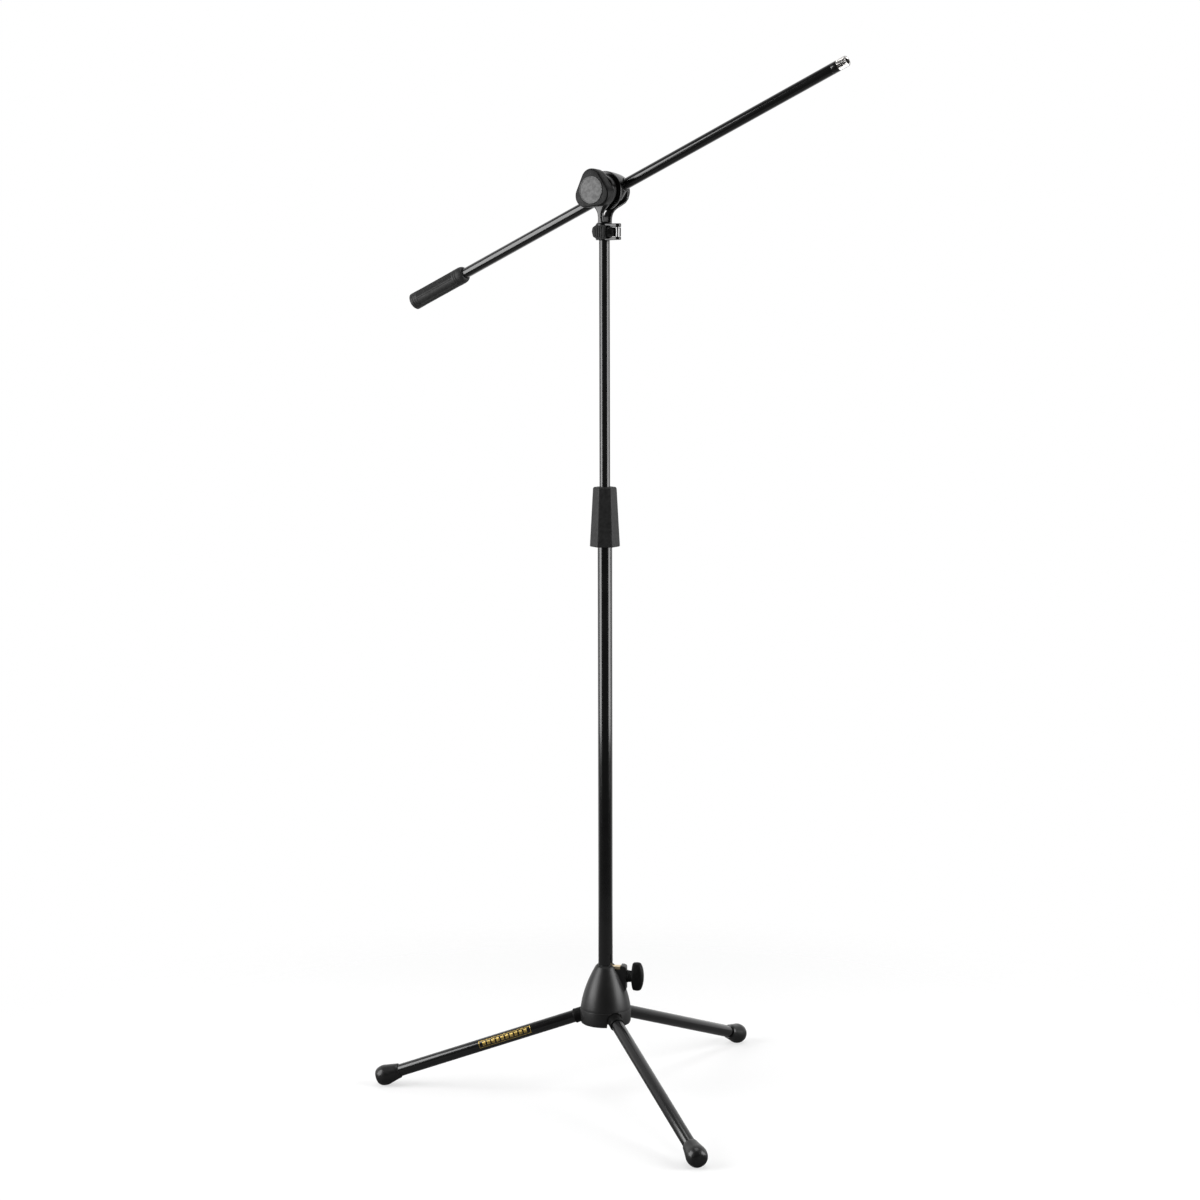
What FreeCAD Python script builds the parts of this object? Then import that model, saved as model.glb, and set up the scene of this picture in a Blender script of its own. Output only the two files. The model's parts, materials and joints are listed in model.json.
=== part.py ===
import FreeCAD, Part
import math
import os

import Sketcher
from FreeCAD import Placement, Rotation, Vector

# Boom microphone stand: a cast hub on three folding legs, a two-stage mast with a
# twist clutch, a forked head with a quick-release latch, and a sliding boom.
#
# Millimetres, +Z up. The origin is on the mast axis at floor level. The left leg
# points along -X, the base knob along +X.

doc = FreeCAD.newDocument("BoomStand")

# ---------------------------------------------------------------- driving sizes

CELLS = {
    # mast
    "lower_radius": 11.0,
    "lower_bore": 9.5,
    "lower_foot": 118.0,
    "lower_top": 893.0,
    "upper_radius": 8.0,
    "upper_bore": 6.8,
    "upper_foot": 540.0,
    "upper_top": 1324.0,
    "running_gap": 0.06,
    # legs: the three axes meet at leg_apex on the mast axis
    "leg_apex": 140.0,
    "leg_slope": 19.66,
    "leg_length": 368.5,
    "leg_radius": 9.5,
    "leg_bore": 8.3,
    "root_radius": 11.2,
    "root_end": 50.9,
    "root_seat": 36.0,
    "pivot_reach": 27.0,
    "pivot_radius": 2.5,
    "foot_radius": 15.8,
    "foot_neck": 11.4,
    # hub casting
    "hub_top": 204.6,
    "hub_edge": 139.0,
    "hub_base": 116.0,
    "hub_radius": 39.0,
    "hub_crown": 15.5,
    "bush_radius": 12.5,
    "lug_inner": 12.1,
    "lug_thick": 3.8,
    "lug_near": 17.0,
    "lug_far": 33.5,
    "slot_depth": 31.0,
    "slot_radius": 11.9,
    "boss_reach": 32.4,
    "boss_width": 17.0,
    "channel_width": 11.0,
    "screw_height": 188.5,
    "screw_radius": 4.0,
    # base knob
    "wing_start": 41.0,
    "wing_end": 59.0,
    "wing_span": 44.5,
    "wing_radius": 8.5,
    "knob_neck": 9.5,
    # clutch
    "clutch_foot": 848.0,
    "clutch_top": 937.6,
    "clutch_foot_radius": 22.6,
    "clutch_top_radius": 17.65,
    "collet_radius": 15.0,
    "collet_slit": 1.2,
    # head: fork, latch, tilt pivot
    "head_azimuth": -25.58,
    "boom_tilt": 23.24,
    "pivot_height": 1375.3,
    "ring_foot": 1303.0,
    "ring_top": 1327.0,
    "ring_radius": 13.0,
    "neck_radius": 11.0,
    "arm_width": 12.0,
    "front_ear": 24.5,
    "front_ear_face": -14.0,
    "front_ear_back": -3.0,
    "rear_ear": 18.0,
    "rear_ear_face": 36.5,
    "rear_ear_back": 45.5,
    "latch_pin_x": 27.5,
    "latch_pin_y": -6.0,
    "latch_pin_radius": 3.0,
    "latch_floor": 1307.5,
    "latch_roof": 1321.5,
    "stud_radius": 4.0,
    "stud_depth": 8.0,
    "trunnion_radius": 6.0,
    "trunnion_length": 8.0,
    "friction_radius": 22.0,
    "washer_radius": 11.0,
    "washer_thick": 1.4,
    # boom clamp
    "clamp_disc": 29.0,
    "clamp_drum": 15.5,
    "collar_radius": 17.8,
    "collar_flat": 8.0,
    "collar_mouth": 10.0,
    "collar_reach": 22.0,
    "collar_back": 34.8,
    "collar_hip": 13.2,
    "collar_hip_reach": 13.6,
    "hood_start": 6.0,
    "hood_rim": 23.8,
    "hood_bevel": 1.2,
    "hood_angle": 200.0,
    "liner_radius": 9.5,
    "boom_offset": 22.0,
    # tilt knob
    "lobe_radius": 17.4,
    "lobe_offset": 13.9,
    "knob_back": -15.7,
    "knob_face": -35.0,
    "medallion_radius": 20.2,
    "medallion_thick": 1.0,
    "insert_radius": 7.0,
    "insert_length": 15.0,
    # boom, along its own axis from the tilt axis
    "boom_radius": 8.0,
    "boom_bore": 6.8,
    "boom_tail": -404.0,
    "boom_nose": 412.0,
    "grip_radius": 13.25,
    "grip_end": -409.0,
    "grip_start": -299.0,
    "thread_radius": 7.84,
    "thread_end": 427.0,
    "thread_bore": 4.5,
    "thread_root": 24.0,
}

sheet = doc.addObject("Spreadsheet::Sheet", "Sizes")
for row, (alias, value) in enumerate(CELLS.items(), start=1):
    sheet.set(f"A{row}", alias)
    sheet.set(f"B{row}", str(value))
    sheet.setAlias(f"B{row}", alias)
doc.recompute()


class Size:
    """A number together with the sheet expression that it comes from."""

    def __init__(self, value, text):
        self.value = value
        self.text = text

    def __add__(self, other):
        return Size(self.value + number(other), f"({self.text} + {wording(other)})")

    def __sub__(self, other):
        return Size(self.value - number(other), f"({self.text} - {wording(other)})")

    def __rsub__(self, other):
        return Size(number(other) - self.value, f"({wording(other)} - {self.text})")

    def __mul__(self, other):
        return Size(self.value * number(other), f"({self.text} * {wording(other)})")

    def __rmul__(self, other):
        return self * other

    def __truediv__(self, other):
        return Size(self.value / number(other), f"({self.text} / {wording(other)})")

    def __neg__(self):
        return Size(-self.value, f"(-1 * {self.text})")


def number(size):
    return size.value if isinstance(size, Size) else float(size)


def wording(size):
    return size.text if isinstance(size, Size) else f"({size})"


def cell(alias):
    return Size(CELLS[alias], f"Sizes.{alias}")


def sine(angle):
    return Size(math.sin(math.radians(angle.value)), f"sin({angle.text})")


def cosine(angle):
    return Size(math.cos(math.radians(angle.value)), f"cos({angle.text})")


def bind(thing, path, size):
    """Ties a property to the sheet, if the size comes from there."""
    if isinstance(size, Size):
        thing.setExpression(path, size.text)


# ---------------------------------------------------------------- modelling helpers

pieces = []


def new_body(label, placement=Placement()):
    body = doc.addObject("PartDesign::Body", label)
    body.Label = label
    body.Placement = placement
    pieces.append(body)
    return body


def new_sketch(body, plane, offset=None, tilt=0.0, shift=0.0):
    """A sketch on one of the body's own planes, moved along its normal by offset,
    moved up the plane by shift, and turned about the plane's first axis by tilt."""
    sketch = body.newObject("Sketcher::SketchObject", f"{body.Name}_sketch")
    planes = [feature for feature in body.Origin.OriginFeatures if feature.Role == plane]
    sketch.AttachmentSupport = [(planes[0], "")]
    sketch.MapMode = "FlatFace"
    turn = Rotation(Vector(1, 0, 0), tilt)
    start = Vector(0, number(shift), 0)
    if offset is not None:
        start = start + turn.multVec(Vector(0, 0, number(offset)))
    sketch.AttachmentOffset = Placement(start, turn)
    if offset is not None and tilt == 0.0:
        bind(sketch, "AttachmentOffset.Base.z", offset)
    return sketch


def fix_point(sketch, curve, end, x, y):
    """Fixes a curve's end at x, y, each tied to the sheet."""
    for kind, axis, size in (("DistanceX", -2, x), ("DistanceY", -1, y)):
        if number(size) == 0.0:
            sketch.addConstraint(Sketcher.Constraint("PointOnObject", curve, end, axis))
        else:
            index = sketch.addConstraint(
                Sketcher.Constraint(kind, -1, 1, curve, end, number(size)))
            bind(sketch, f"Constraints[{index}]", size)


def outline(sketch, corners):
    """A closed outline. A corner is (x, y), or (x, y, (mx, my)) where an arc runs
    from it through (mx, my) to the next corner."""
    ends = []
    for corner, following in zip(corners, corners[1:] + corners[:1]):
        start = Vector(number(corner[0]), number(corner[1]), 0)
        stop = Vector(number(following[0]), number(following[1]), 0)
        if len(corner) == 2:
            curve = sketch.addGeometry(Part.LineSegment(start, stop), False)
            ends.append((curve, 1, 2))
            continue
        middle = Vector(number(corner[2][0]), number(corner[2][1]), 0)
        anticlockwise = (middle - start).cross(stop - middle).z > 0
        first, last = (start, stop) if anticlockwise else (stop, start)
        curve = sketch.addGeometry(Part.Arc(first, middle, last), False)
        ends.append((curve, 1, 2) if anticlockwise else (curve, 2, 1))
        through = sketch.addGeometry(Part.Point(middle), True)
        fix_point(sketch, through, 1, corner[2][0], corner[2][1])
        sketch.addConstraint(Sketcher.Constraint("PointOnObject", through, 1, curve))
    for (curve, _, last), (following, first, _) in zip(ends, ends[1:] + ends[:1]):
        sketch.addConstraint(Sketcher.Constraint("Coincident", curve, last, following, first))
    for (curve, first, _), corner in zip(ends, corners):
        fix_point(sketch, curve, first, corner[0], corner[1])


def circle(sketch, x, y, radius):
    curve = sketch.addGeometry(
        Part.Circle(Vector(number(x), number(y), 0), Vector(0, 0, 1), number(radius)), False)
    fix_point(sketch, curve, 3, x, y)
    index = sketch.addConstraint(Sketcher.Constraint("Radius", curve, number(radius)))
    bind(sketch, f"Constraints[{index}]", radius)


def rectangle(sketch, left, low, right, high):
    outline(sketch, [(left, low), (right, low), (right, high), (left, high)])


def feature(body, kind, sketch):
    made = body.newObject(f"PartDesign::{kind}", f"{body.Name}_{kind}")
    made.Profile = sketch
    sketch.Visibility = False
    return made


def revolve(body, sketch, axis, angle=360.0):
    """Turns the sketch about its own H_Axis or V_Axis, evenly to both sides of its plane."""
    made = feature(body, "Revolution", sketch)
    made.ReferenceAxis = (sketch, [axis])
    made.Angle = number(angle)
    bind(made, "Angle", angle)
    made.Midplane = number(angle) < 360.0
    doc.recompute()
    return made


def pad(body, sketch, length, symmetric=False, backward=False):
    made = feature(body, "Pad", sketch)
    made.Length = number(length)
    bind(made, "Length", length)
    made.SideType = "Symmetric" if symmetric else "One side"
    made.Reversed = backward
    doc.recompute()
    return made


def pocket(body, sketch, length, symmetric=False, backward=False):
    """Cuts the sketch out, and stops if the cut misses the solid."""
    doc.recompute()
    before = body.Shape.Volume
    made = feature(body, "Pocket", sketch)
    made.Length = number(length)
    bind(made, "Length", length)
    made.SideType = "Symmetric" if symmetric else "One side"
    made.Reversed = backward
    doc.recompute()
    if body.Shape.Volume > before - 0.01:
        raise RuntimeError(f"a pocket of {body.Label} cuts nothing")
    return made


def around(body, features, count):
    """Repeats features evenly about the body's Z axis."""
    made = body.newObject("PartDesign::PolarPattern", f"{body.Name}_pattern")
    made.Originals = features
    axes = [item for item in body.Origin.OriginFeatures if item.Role == "Z_Axis"]
    made.Axis = (axes[0], [""])
    made.Angle = 360.0
    made.Occurrences = count
    body.Tip = made
    doc.recompute()
    return made


def turned(label, corners, placement=Placement(), plane="XZ_Plane", axis="V_Axis"):
    """A body turned from one outline of (radius, height) or, about H_Axis,
    of (distance along, radius)."""
    body = new_body(label, placement)
    sketch = new_sketch(body, plane)
    outline(sketch, corners)
    revolve(body, sketch, axis)
    return body


def tube(label, bore, radius, low, high, placement=Placement(), axis="V_Axis"):
    if axis == "V_Axis":
        corners = [(bore, low), (radius, low), (radius, high), (bore, high)]
    else:
        corners = [(low, bore), (high, bore), (high, radius), (low, radius)]
    return turned(label, corners, placement, axis=axis)


gap = cell("running_gap")

# ---------------------------------------------------------------- hub and its fittings

LEG_AZIMUTHS = {"left": 180.0, "front": -60.0, "rear": 60.0}


def make_hub():
    """Bell casting: thin outer wall, inner sleeve for the mast, paired lugs for each
    leg, slots that open downwards, and a channel boss for the clamping screw."""
    body = new_body("base_hub")
    base = cell("hub_base")
    edge = cell("hub_edge")
    top = cell("hub_top")
    wide = cell("hub_radius")
    bore = cell("bush_radius")
    section = new_sketch(body, "XZ_Plane")
    outline(section, [
        (bore, base + 2.4),
        (bore + 2.7, base + 2.4),
        (bore + 2.7, base + 60.0),
        (bore + 10.4, base + 60.0, (bore + 17.3, base + 42.5)),
        (wide - 4.2, edge - 1.0),
        (wide - 4.2, base + 2.5),
        (wide - 2.6, base),
        (wide - 1.8, base),
        (wide - 0.4, base + 2.6),
        (wide, edge, (wide - 9.1, edge + 32.8)),
        (cell("hub_crown"), top - 1.2),
        (cell("hub_crown") - 1.2, top),
        (bore, top),
    ])
    revolve(body, section, "V_Axis")

    lugs = new_sketch(body, "XY_Plane", base + 3.5)
    inner = cell("lug_inner")
    outer = inner + cell("lug_thick")
    near = cell("lug_near")
    far = cell("lug_far")
    rectangle(lugs, -far, inner, -near, outer)
    rectangle(lugs, -far, -outer, -near, -inner)
    lug_pad = pad(body, lugs, 26.5)
    around(body, [lug_pad], 3)

    slope = CELLS["leg_slope"]
    slot = new_sketch(body, "YZ_Plane", offset=-cell("slot_depth"), tilt=-slope,
                      shift=cell("leg_apex"))
    round_top = cell("slot_radius")
    outline(slot, [
        (-round_top, -40.0),
        (round_top, -40.0),
        (round_top, 0.0, (0.0, round_top)),
        (-round_top, 0.0),
    ])
    slot_cut = pocket(body, slot, 40.0)
    around(body, [slot_cut], 3)

    pivot = cell("pivot_reach")
    pin_height = cell("leg_apex") - pivot * sine(cell("leg_slope")) / cosine(cell("leg_slope"))
    pin_sketch = new_sketch(body, "XZ_Plane")
    circle(pin_sketch, -pivot, pin_height, cell("pivot_radius"))
    pin_cut = pocket(body, pin_sketch, 2 * outer + 4.0, symmetric=True)
    around(body, [pin_cut], 3)

    # The boss starts inside the sleeve wall and its end wall stands above its sides.
    side = new_sketch(body, "XZ_Plane")
    reach = cell("boss_reach")
    wall = reach - 8.4
    outline(side, [
        (bore + 1.0, edge + 39.0),
        (reach - 5.5, edge + 22.0),
        (reach, edge + 30.0),
        (reach, top - 3.0, (reach - 1.3, top)),
        (reach - 4.4, top + 1.2),
        (wall, top + 1.2),
        (wall, top - 5.0),
        (bore + 1.0, top - 5.0),
    ])
    pad(body, side, cell("boss_width"), symmetric=True)
    channel = new_sketch(body, "XY_Plane", top + 2.0)
    half = cell("channel_width") / 2
    rectangle(channel, bore - 4.0, -half, wall, half)
    pocket(body, channel, 23.0)
    tapped = new_sketch(body, "YZ_Plane", reach + 1.0)
    circle(tapped, 0.0, cell("screw_height"), cell("screw_radius") + gap)
    pocket(body, tapped, 12.0)


def make_hub_bush():
    """Nylon sleeve that guides the lower tube, with a window for the clamping pad."""
    top = cell("hub_top")
    bore = cell("bush_radius")
    slide = cell("lower_radius") + gap
    body = turned("hub_bush", [
        (slide, cell("hub_base") + 2.4),
        (bore, cell("hub_base") + 2.4),
        (bore, top),
        (bore + 0.9, top),
        (bore + 0.9, top + 1.0),
        (slide, top + 1.6),
    ])
    window = new_sketch(body, "XY_Plane", top + 3.0)
    half = cell("channel_width") / 2
    rectangle(window, 5.0, -half, bore + 3.0, half)
    pocket(body, window, 24.0)


def make_brass_pad():
    """Brass clamping pad, hollowed to the tube, that the base screw pushes."""
    body = new_body("brass_pad")
    top = cell("hub_top")
    plan = new_sketch(body, "XY_Plane", top - 20.9)
    half = cell("channel_width") / 2 - 0.15
    rectangle(plan, 9.0, -half, cell("boss_reach") - 9.4, half)
    pad(body, plan, 20.6)
    hollow = new_sketch(body, "XY_Plane", top + 3.0)
    circle(hollow, 0.0, 0.0, cell("lower_radius") + gap)
    pocket(body, hollow, 40.0)


def make_pivot_pins():
    """Three steel pins, one through each leg's lugs."""
    outer = cell("lug_inner") + cell("lug_thick")
    reach = CELLS["pivot_reach"]
    drop = reach * math.tan(math.radians(CELLS["leg_slope"]))
    pins = []
    for name, azimuth in LEG_AZIMUTHS.items():
        pin = doc.addObject("Part::Cylinder", f"pivot_pin_{name}")
        bind(pin, "Radius", cell("pivot_radius"))
        bind(pin, "Height", 2 * outer + 1.0)
        across = Placement(Vector(reach, -outer.value - 0.5, CELLS["leg_apex"] - drop),
                           Rotation(Vector(1, 0, 0), -90))
        pin.Placement = turn_about_mast(azimuth) * across
        pins.append(pin)
    group = doc.addObject("Part::Compound", "leg_pivot_pins")
    group.Label = "leg_pivot_pins"
    group.Links = pins
    pieces.append(group)


def turn_about_mast(azimuth):
    return Placement(Vector(0, 0, 0), Rotation(Vector(0, 0, 1), azimuth))


make_hub()
make_hub_bush()
make_brass_pad()
make_pivot_pins()

# ---------------------------------------------------------------- legs

# A leg is modelled along +X from the point where the three leg axes meet.


def leg_placement(azimuth):
    drop = Placement(Vector(0, 0, CELLS["leg_apex"]),
                     Rotation(Vector(0, 1, 0), CELLS["leg_slope"]))
    return turn_about_mast(azimuth) * drop


def make_leg_root(name, placement):
    """Moulded knuckle: domed pivot end, and a socket that holds the leg tube."""
    radius = cell("root_radius")
    pivot = cell("pivot_reach") / cosine(cell("leg_slope"))
    seat = cell("root_seat")
    end = cell("root_end")
    body = new_body(f"leg_root_{name}", placement)
    section = new_sketch(body, "XZ_Plane")
    diagonal = math.sqrt(0.5)
    outline(section, [
        (pivot - radius, 0.0, (pivot - radius * diagonal, radius * diagonal)),
        (pivot, radius),
        (end - 0.8, radius),
        (end, radius - 0.8),
        (end, cell("leg_radius")),
        (seat, cell("leg_radius")),
        (seat, 0.0),
    ])
    revolve(body, section, "H_Axis")
    hole = new_sketch(body, "XZ_Plane")
    circle(hole, pivot, 0.0, cell("pivot_radius") + gap)
    pocket(body, hole, 30.0, symmetric=True)


def make_leg_tube(name, placement):
    tube(f"leg_tube_{name}", cell("leg_bore"), cell("leg_radius"), cell("root_seat"),
         cell("leg_length") - 6.0, placement, axis="H_Axis")


def make_foot(name, placement):
    """Rubber foot: sleeve on the tube, round bulb, and a small flat sole."""
    centre = cell("leg_length")
    bulb = cell("foot_radius")
    neck = cell("foot_neck")
    body = new_body(f"foot_{name}", placement)
    section = new_sketch(body, "XZ_Plane")
    outline(section, [
        (centre - 24.0, cell("leg_radius")),
        (centre - 24.0, neck - 0.6),
        (centre - 23.0, neck),
        (centre - 19.0, neck + 0.4, (centre - 13.0, neck + 2.2)),
        (centre - 6.5, bulb - 0.4, (centre, bulb)),
        (centre + 6.5, bulb - 0.7, (centre + 11.5, bulb - 3.6)),
        (centre + 14.0, bulb - 7.8),
        (centre + 14.4, 0.0),
        (centre - 6.0, 0.0),
        (centre - 6.0, cell("leg_radius")),
    ])
    revolve(body, section, "H_Axis")
    slope = cell("leg_slope")
    low = centre - 22.0
    high = centre + 22.0
    floor = new_sketch(body, "XZ_Plane")
    outline(floor, [
        (low, -45.0),
        (high, -45.0),
        (high, (high * sine(slope) - cell("leg_apex")) / cosine(slope)),
        (low, (low * sine(slope) - cell("leg_apex")) / cosine(slope)),
    ])
    pocket(body, floor, 60.0, symmetric=True)


for leg, direction in LEG_AZIMUTHS.items():
    make_leg_root(leg, leg_placement(direction))
    make_leg_tube(leg, leg_placement(direction))
    make_foot(leg, leg_placement(direction))

# ---------------------------------------------------------------- base knob


def make_base_knob():
    """Two-winged knob on a round neck, moulded around the head of its screw."""
    body = new_body("base_knob")
    height = cell("screw_height")
    neck = new_sketch(body, "YZ_Plane", cell("boss_reach") + 0.4)
    circle(neck, 0.0, height, cell("knob_neck"))
    pad(body, neck, cell("wing_start") - cell("boss_reach") + 1.0)
    wings = new_sketch(body, "YZ_Plane", cell("wing_start"))
    tip = cell("wing_radius")
    arm = cell("wing_span") / 2 - tip
    outline(wings, [
        (-tip, height + arm, (0.0, height + arm + tip)),
        (tip, height + arm),
        (tip + 2.5, height),
        (tip, height - arm, (0.0, height - arm - tip)),
        (-tip, height - arm),
        (-tip - 2.5, height),
    ])
    pad(body, wings, cell("wing_end") - cell("wing_start") - 4.0)
    crown = new_sketch(body, "YZ_Plane", cell("wing_end") - 5.0)
    circle(crown, 0.0, height, tip + 1.8)
    pad(body, crown, 5.0)
    socket = new_sketch(body, "YZ_Plane", cell("boss_reach") - 1.0)
    circle(socket, 0.0, height, cell("screw_radius"))
    pocket(body, socket, 18.6, backward=True)


def make_base_screw():
    """Steel screw, from the brass pad into the knob."""
    screw = doc.addObject("Part::Cylinder", "base_screw")
    screw.Label = "base_screw"
    bind(screw, "Radius", cell("screw_radius"))
    bind(screw, "Height", cell("wing_end") - cell("boss_reach"))
    screw.Placement = Placement(
        Vector(CELLS["boss_reach"] - 9.0, 0, CELLS["screw_height"]),
        Rotation(Vector(0, 1, 0), 90))
    pieces.append(screw)


make_base_knob()
make_base_screw()

# ---------------------------------------------------------------- mast and clutch


def make_mast():
    low = cell("lower_foot")
    radius = cell("lower_radius")
    bore = cell("lower_bore")
    tube("lower_tube", bore, radius, low, cell("lower_top"))
    turned("lower_tube_cap", [
        (0.0, low - 4.0),
        (radius + 0.8, low - 4.0),
        (radius + 2.0, low - 2.8),
        (radius + 2.0, low),
        (bore, low),
        (bore, low + 12.0),
        (0.0, low + 12.0),
    ])
    upper = cell("upper_radius")
    foot = cell("upper_foot")
    top = cell("upper_top")
    tube("upper_tube", cell("upper_bore"), upper, foot, top)
    turned("upper_tube_bush", [
        (5.0, foot - 4.0),
        (bore - gap, foot - 4.0),
        (bore - gap, foot + 26.0),
        (upper, foot + 26.0),
        (upper, foot),
        (5.0, foot),
    ])
    turned("upper_tube_plug", [
        (0.0, top - 14.0),
        (cell("upper_bore"), top - 14.0),
        (cell("upper_bore"), top),
        (0.0, top),
    ])


def make_clutch():
    """Collet fixed on the lower tube, and the twist grip that closes it."""
    upper = cell("upper_radius") + gap
    lower = cell("lower_radius")
    seat = cell("collet_radius")
    top = cell("lower_top")
    foot = cell("clutch_foot")
    collet = turned("clutch_collet", [
        (lower, foot + 4.0),
        (seat, foot + 4.0),
        (seat, top + 12.0),
        (seat - 1.8, top + 15.0),
        (seat - 3.4, top + 37.0),
        (upper, top + 37.0),
        (upper, top),
        (lower, top),
    ])
    for axis in ("XZ_Plane", "YZ_Plane"):
        slit = new_sketch(collet, axis)
        rectangle(slit, -20.0, top + 16.0, 20.0, top + 40.0)
        pocket(collet, slit, cell("collet_slit"), symmetric=True)
    wide = cell("clutch_foot_radius")
    crown = cell("clutch_top")
    narrow = cell("clutch_top_radius")
    turned("clutch_grip", [
        (seat + gap, foot),
        (wide - 1.4, foot),
        (wide, foot + 1.6),
        (wide + 0.2, foot + 8.0, ((wide + narrow) / 2 + 0.9, (foot + crown) / 2)),
        (narrow + 0.3, crown - 3.5, (narrow - 0.6, crown - 0.9)),
        (narrow - 2.6, crown),
        (upper + 0.3, crown),
        (upper + 0.3, top + 37.4),
        (seat - 3.1, top + 37.4),
        (seat - 1.4, top + 15.2),
        (seat + gap, top + 12.2),
    ])


make_mast()
make_clutch()

# ---------------------------------------------------------------- head

# Head pieces are modelled with the boom's upper end towards +X and the tilt knob
# towards -Y, then turned about the mast. The tilt axis lies along Y.

HEAD = turn_about_mast(CELLS["head_azimuth"])
TILTED = HEAD * Placement(Vector(0, 0, CELLS["pivot_height"]),
                          Rotation(Vector(0, 1, 0), -CELLS["boom_tilt"]))
ALONG_BOOM = TILTED * Placement(Vector(0, CELLS["boom_offset"], 0), Rotation())


def make_yoke():
    """Forked casting: clamp ring on the upper tube, latch ears, short neck, a front
    arm to the friction ear and a swept rear arm to the trunnion ear."""
    body = new_body("yoke", HEAD)
    low = cell("ring_foot")
    top = cell("ring_top")
    axis = cell("pivot_height")
    neck = cell("neck_radius")
    ring = new_sketch(body, "XZ_Plane")
    socket = cell("upper_radius") + gap
    outline(ring, [
        (socket, low),
        (cell("ring_radius") - 0.8, low),
        (cell("ring_radius"), low + 0.8),
        (cell("ring_radius"), cell("latch_floor")),
        (neck + 0.4, cell("latch_floor")),
        (neck + 0.4, cell("latch_roof")),
        (cell("ring_radius"), cell("latch_roof")),
        (cell("ring_radius"), top - 1.0),
        (neck, top + 0.6),
        (neck, top + 5.0),
        (0.0, top + 5.0),
        (0.0, cell("upper_top") + 0.4),
        (socket, cell("upper_top") + 0.4),
    ])
    revolve(body, ring, "V_Axis")

    fork = new_sketch(body, "YZ_Plane")
    face = cell("front_ear_face")
    back = cell("front_ear_back")
    rear_face = cell("rear_ear_face")
    rear_back = cell("rear_ear_back")
    outline(fork, [
        (-neck, top),
        (-neck + 1.5, top + 11.0),
        (face, axis - 24.0),
        (face, axis),
        (back, axis),
        (back, axis - 28.0),
        (back + 1.5, axis - 37.5, (1.4, axis - 41.8)),
        (4.0, axis - 38.5),
        (8.0, axis - 31.2),
        (14.5, axis - 26.8),
        (26.0, axis - 20.8),
        (rear_face, axis - 17.6),
        (rear_face, axis),
        (rear_back, axis),
        (rear_back, axis - 17.0),
        (rear_face, axis - 21.8),
        (20.0, axis - 27.6),
        (12.8, axis - 35.5),
        (neck, top),
    ])
    pad(body, fork, cell("arm_width"), symmetric=True)

    for radius, start, stop in (
            (cell("front_ear"), face, back),
            (cell("rear_ear"), rear_face, rear_back)):
        disc = new_sketch(body, "XZ_Plane", -stop)
        circle(disc, 0.0, axis, radius)
        pad(body, disc, stop - start)

    flare = new_sketch(body, "XZ_Plane", 1.0 - back)
    outline(flare, [
        (-6.0, top),
        (6.0, top),
        (7.0, axis - 39.0),
        (9.5, axis - 31.0),
        (17.5, axis - 17.0),
        (-17.5, axis - 17.0),
        (-9.5, axis - 31.0),
        (-7.0, axis - 39.0),
    ])
    pad(body, flare, back - face - 2.0)

    pin_x = cell("latch_pin_x")
    pin_y = cell("latch_pin_y")
    for start, stop in ((low, cell("latch_floor")), (cell("latch_roof"), top)):
        ear = new_sketch(body, "XY_Plane", start)
        outline(ear, [
            (9.2, -9.0),
            (13.0, pin_y - 5.2),
            (pin_x, pin_y - 5.2, (pin_x + 5.2, pin_y)),
            (pin_x, pin_y + 5.2),
            (14.0, 6.5),
            (9.2, 9.0),
        ])
        pad(body, ear, stop - start)
        hole = new_sketch(body, "XY_Plane", stop + 1.0)
        circle(hole, pin_x, pin_y, cell("latch_pin_radius"))
        pocket(body, hole, stop - start + 2.0)

    split = new_sketch(body, "XY_Plane", low - 1.0)
    rectangle(split, -1.0, -cell("ring_radius") - 1.0, 1.0, -4.0)
    pocket(body, split, cell("latch_roof") - low + 1.0, backward=True)

    stud_hole = new_sketch(body, "XZ_Plane", -back - 1.0)
    circle(stud_hole, 0.0, axis, cell("stud_radius") + gap)
    pocket(body, stud_hole, 14.0, backward=True)
    trunnion_hole = new_sketch(body, "XZ_Plane", -rear_back - 1.0)
    circle(trunnion_hole, 0.0, axis, cell("trunnion_radius") + gap)
    pocket(body, trunnion_hole, 12.0, backward=True)


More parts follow.
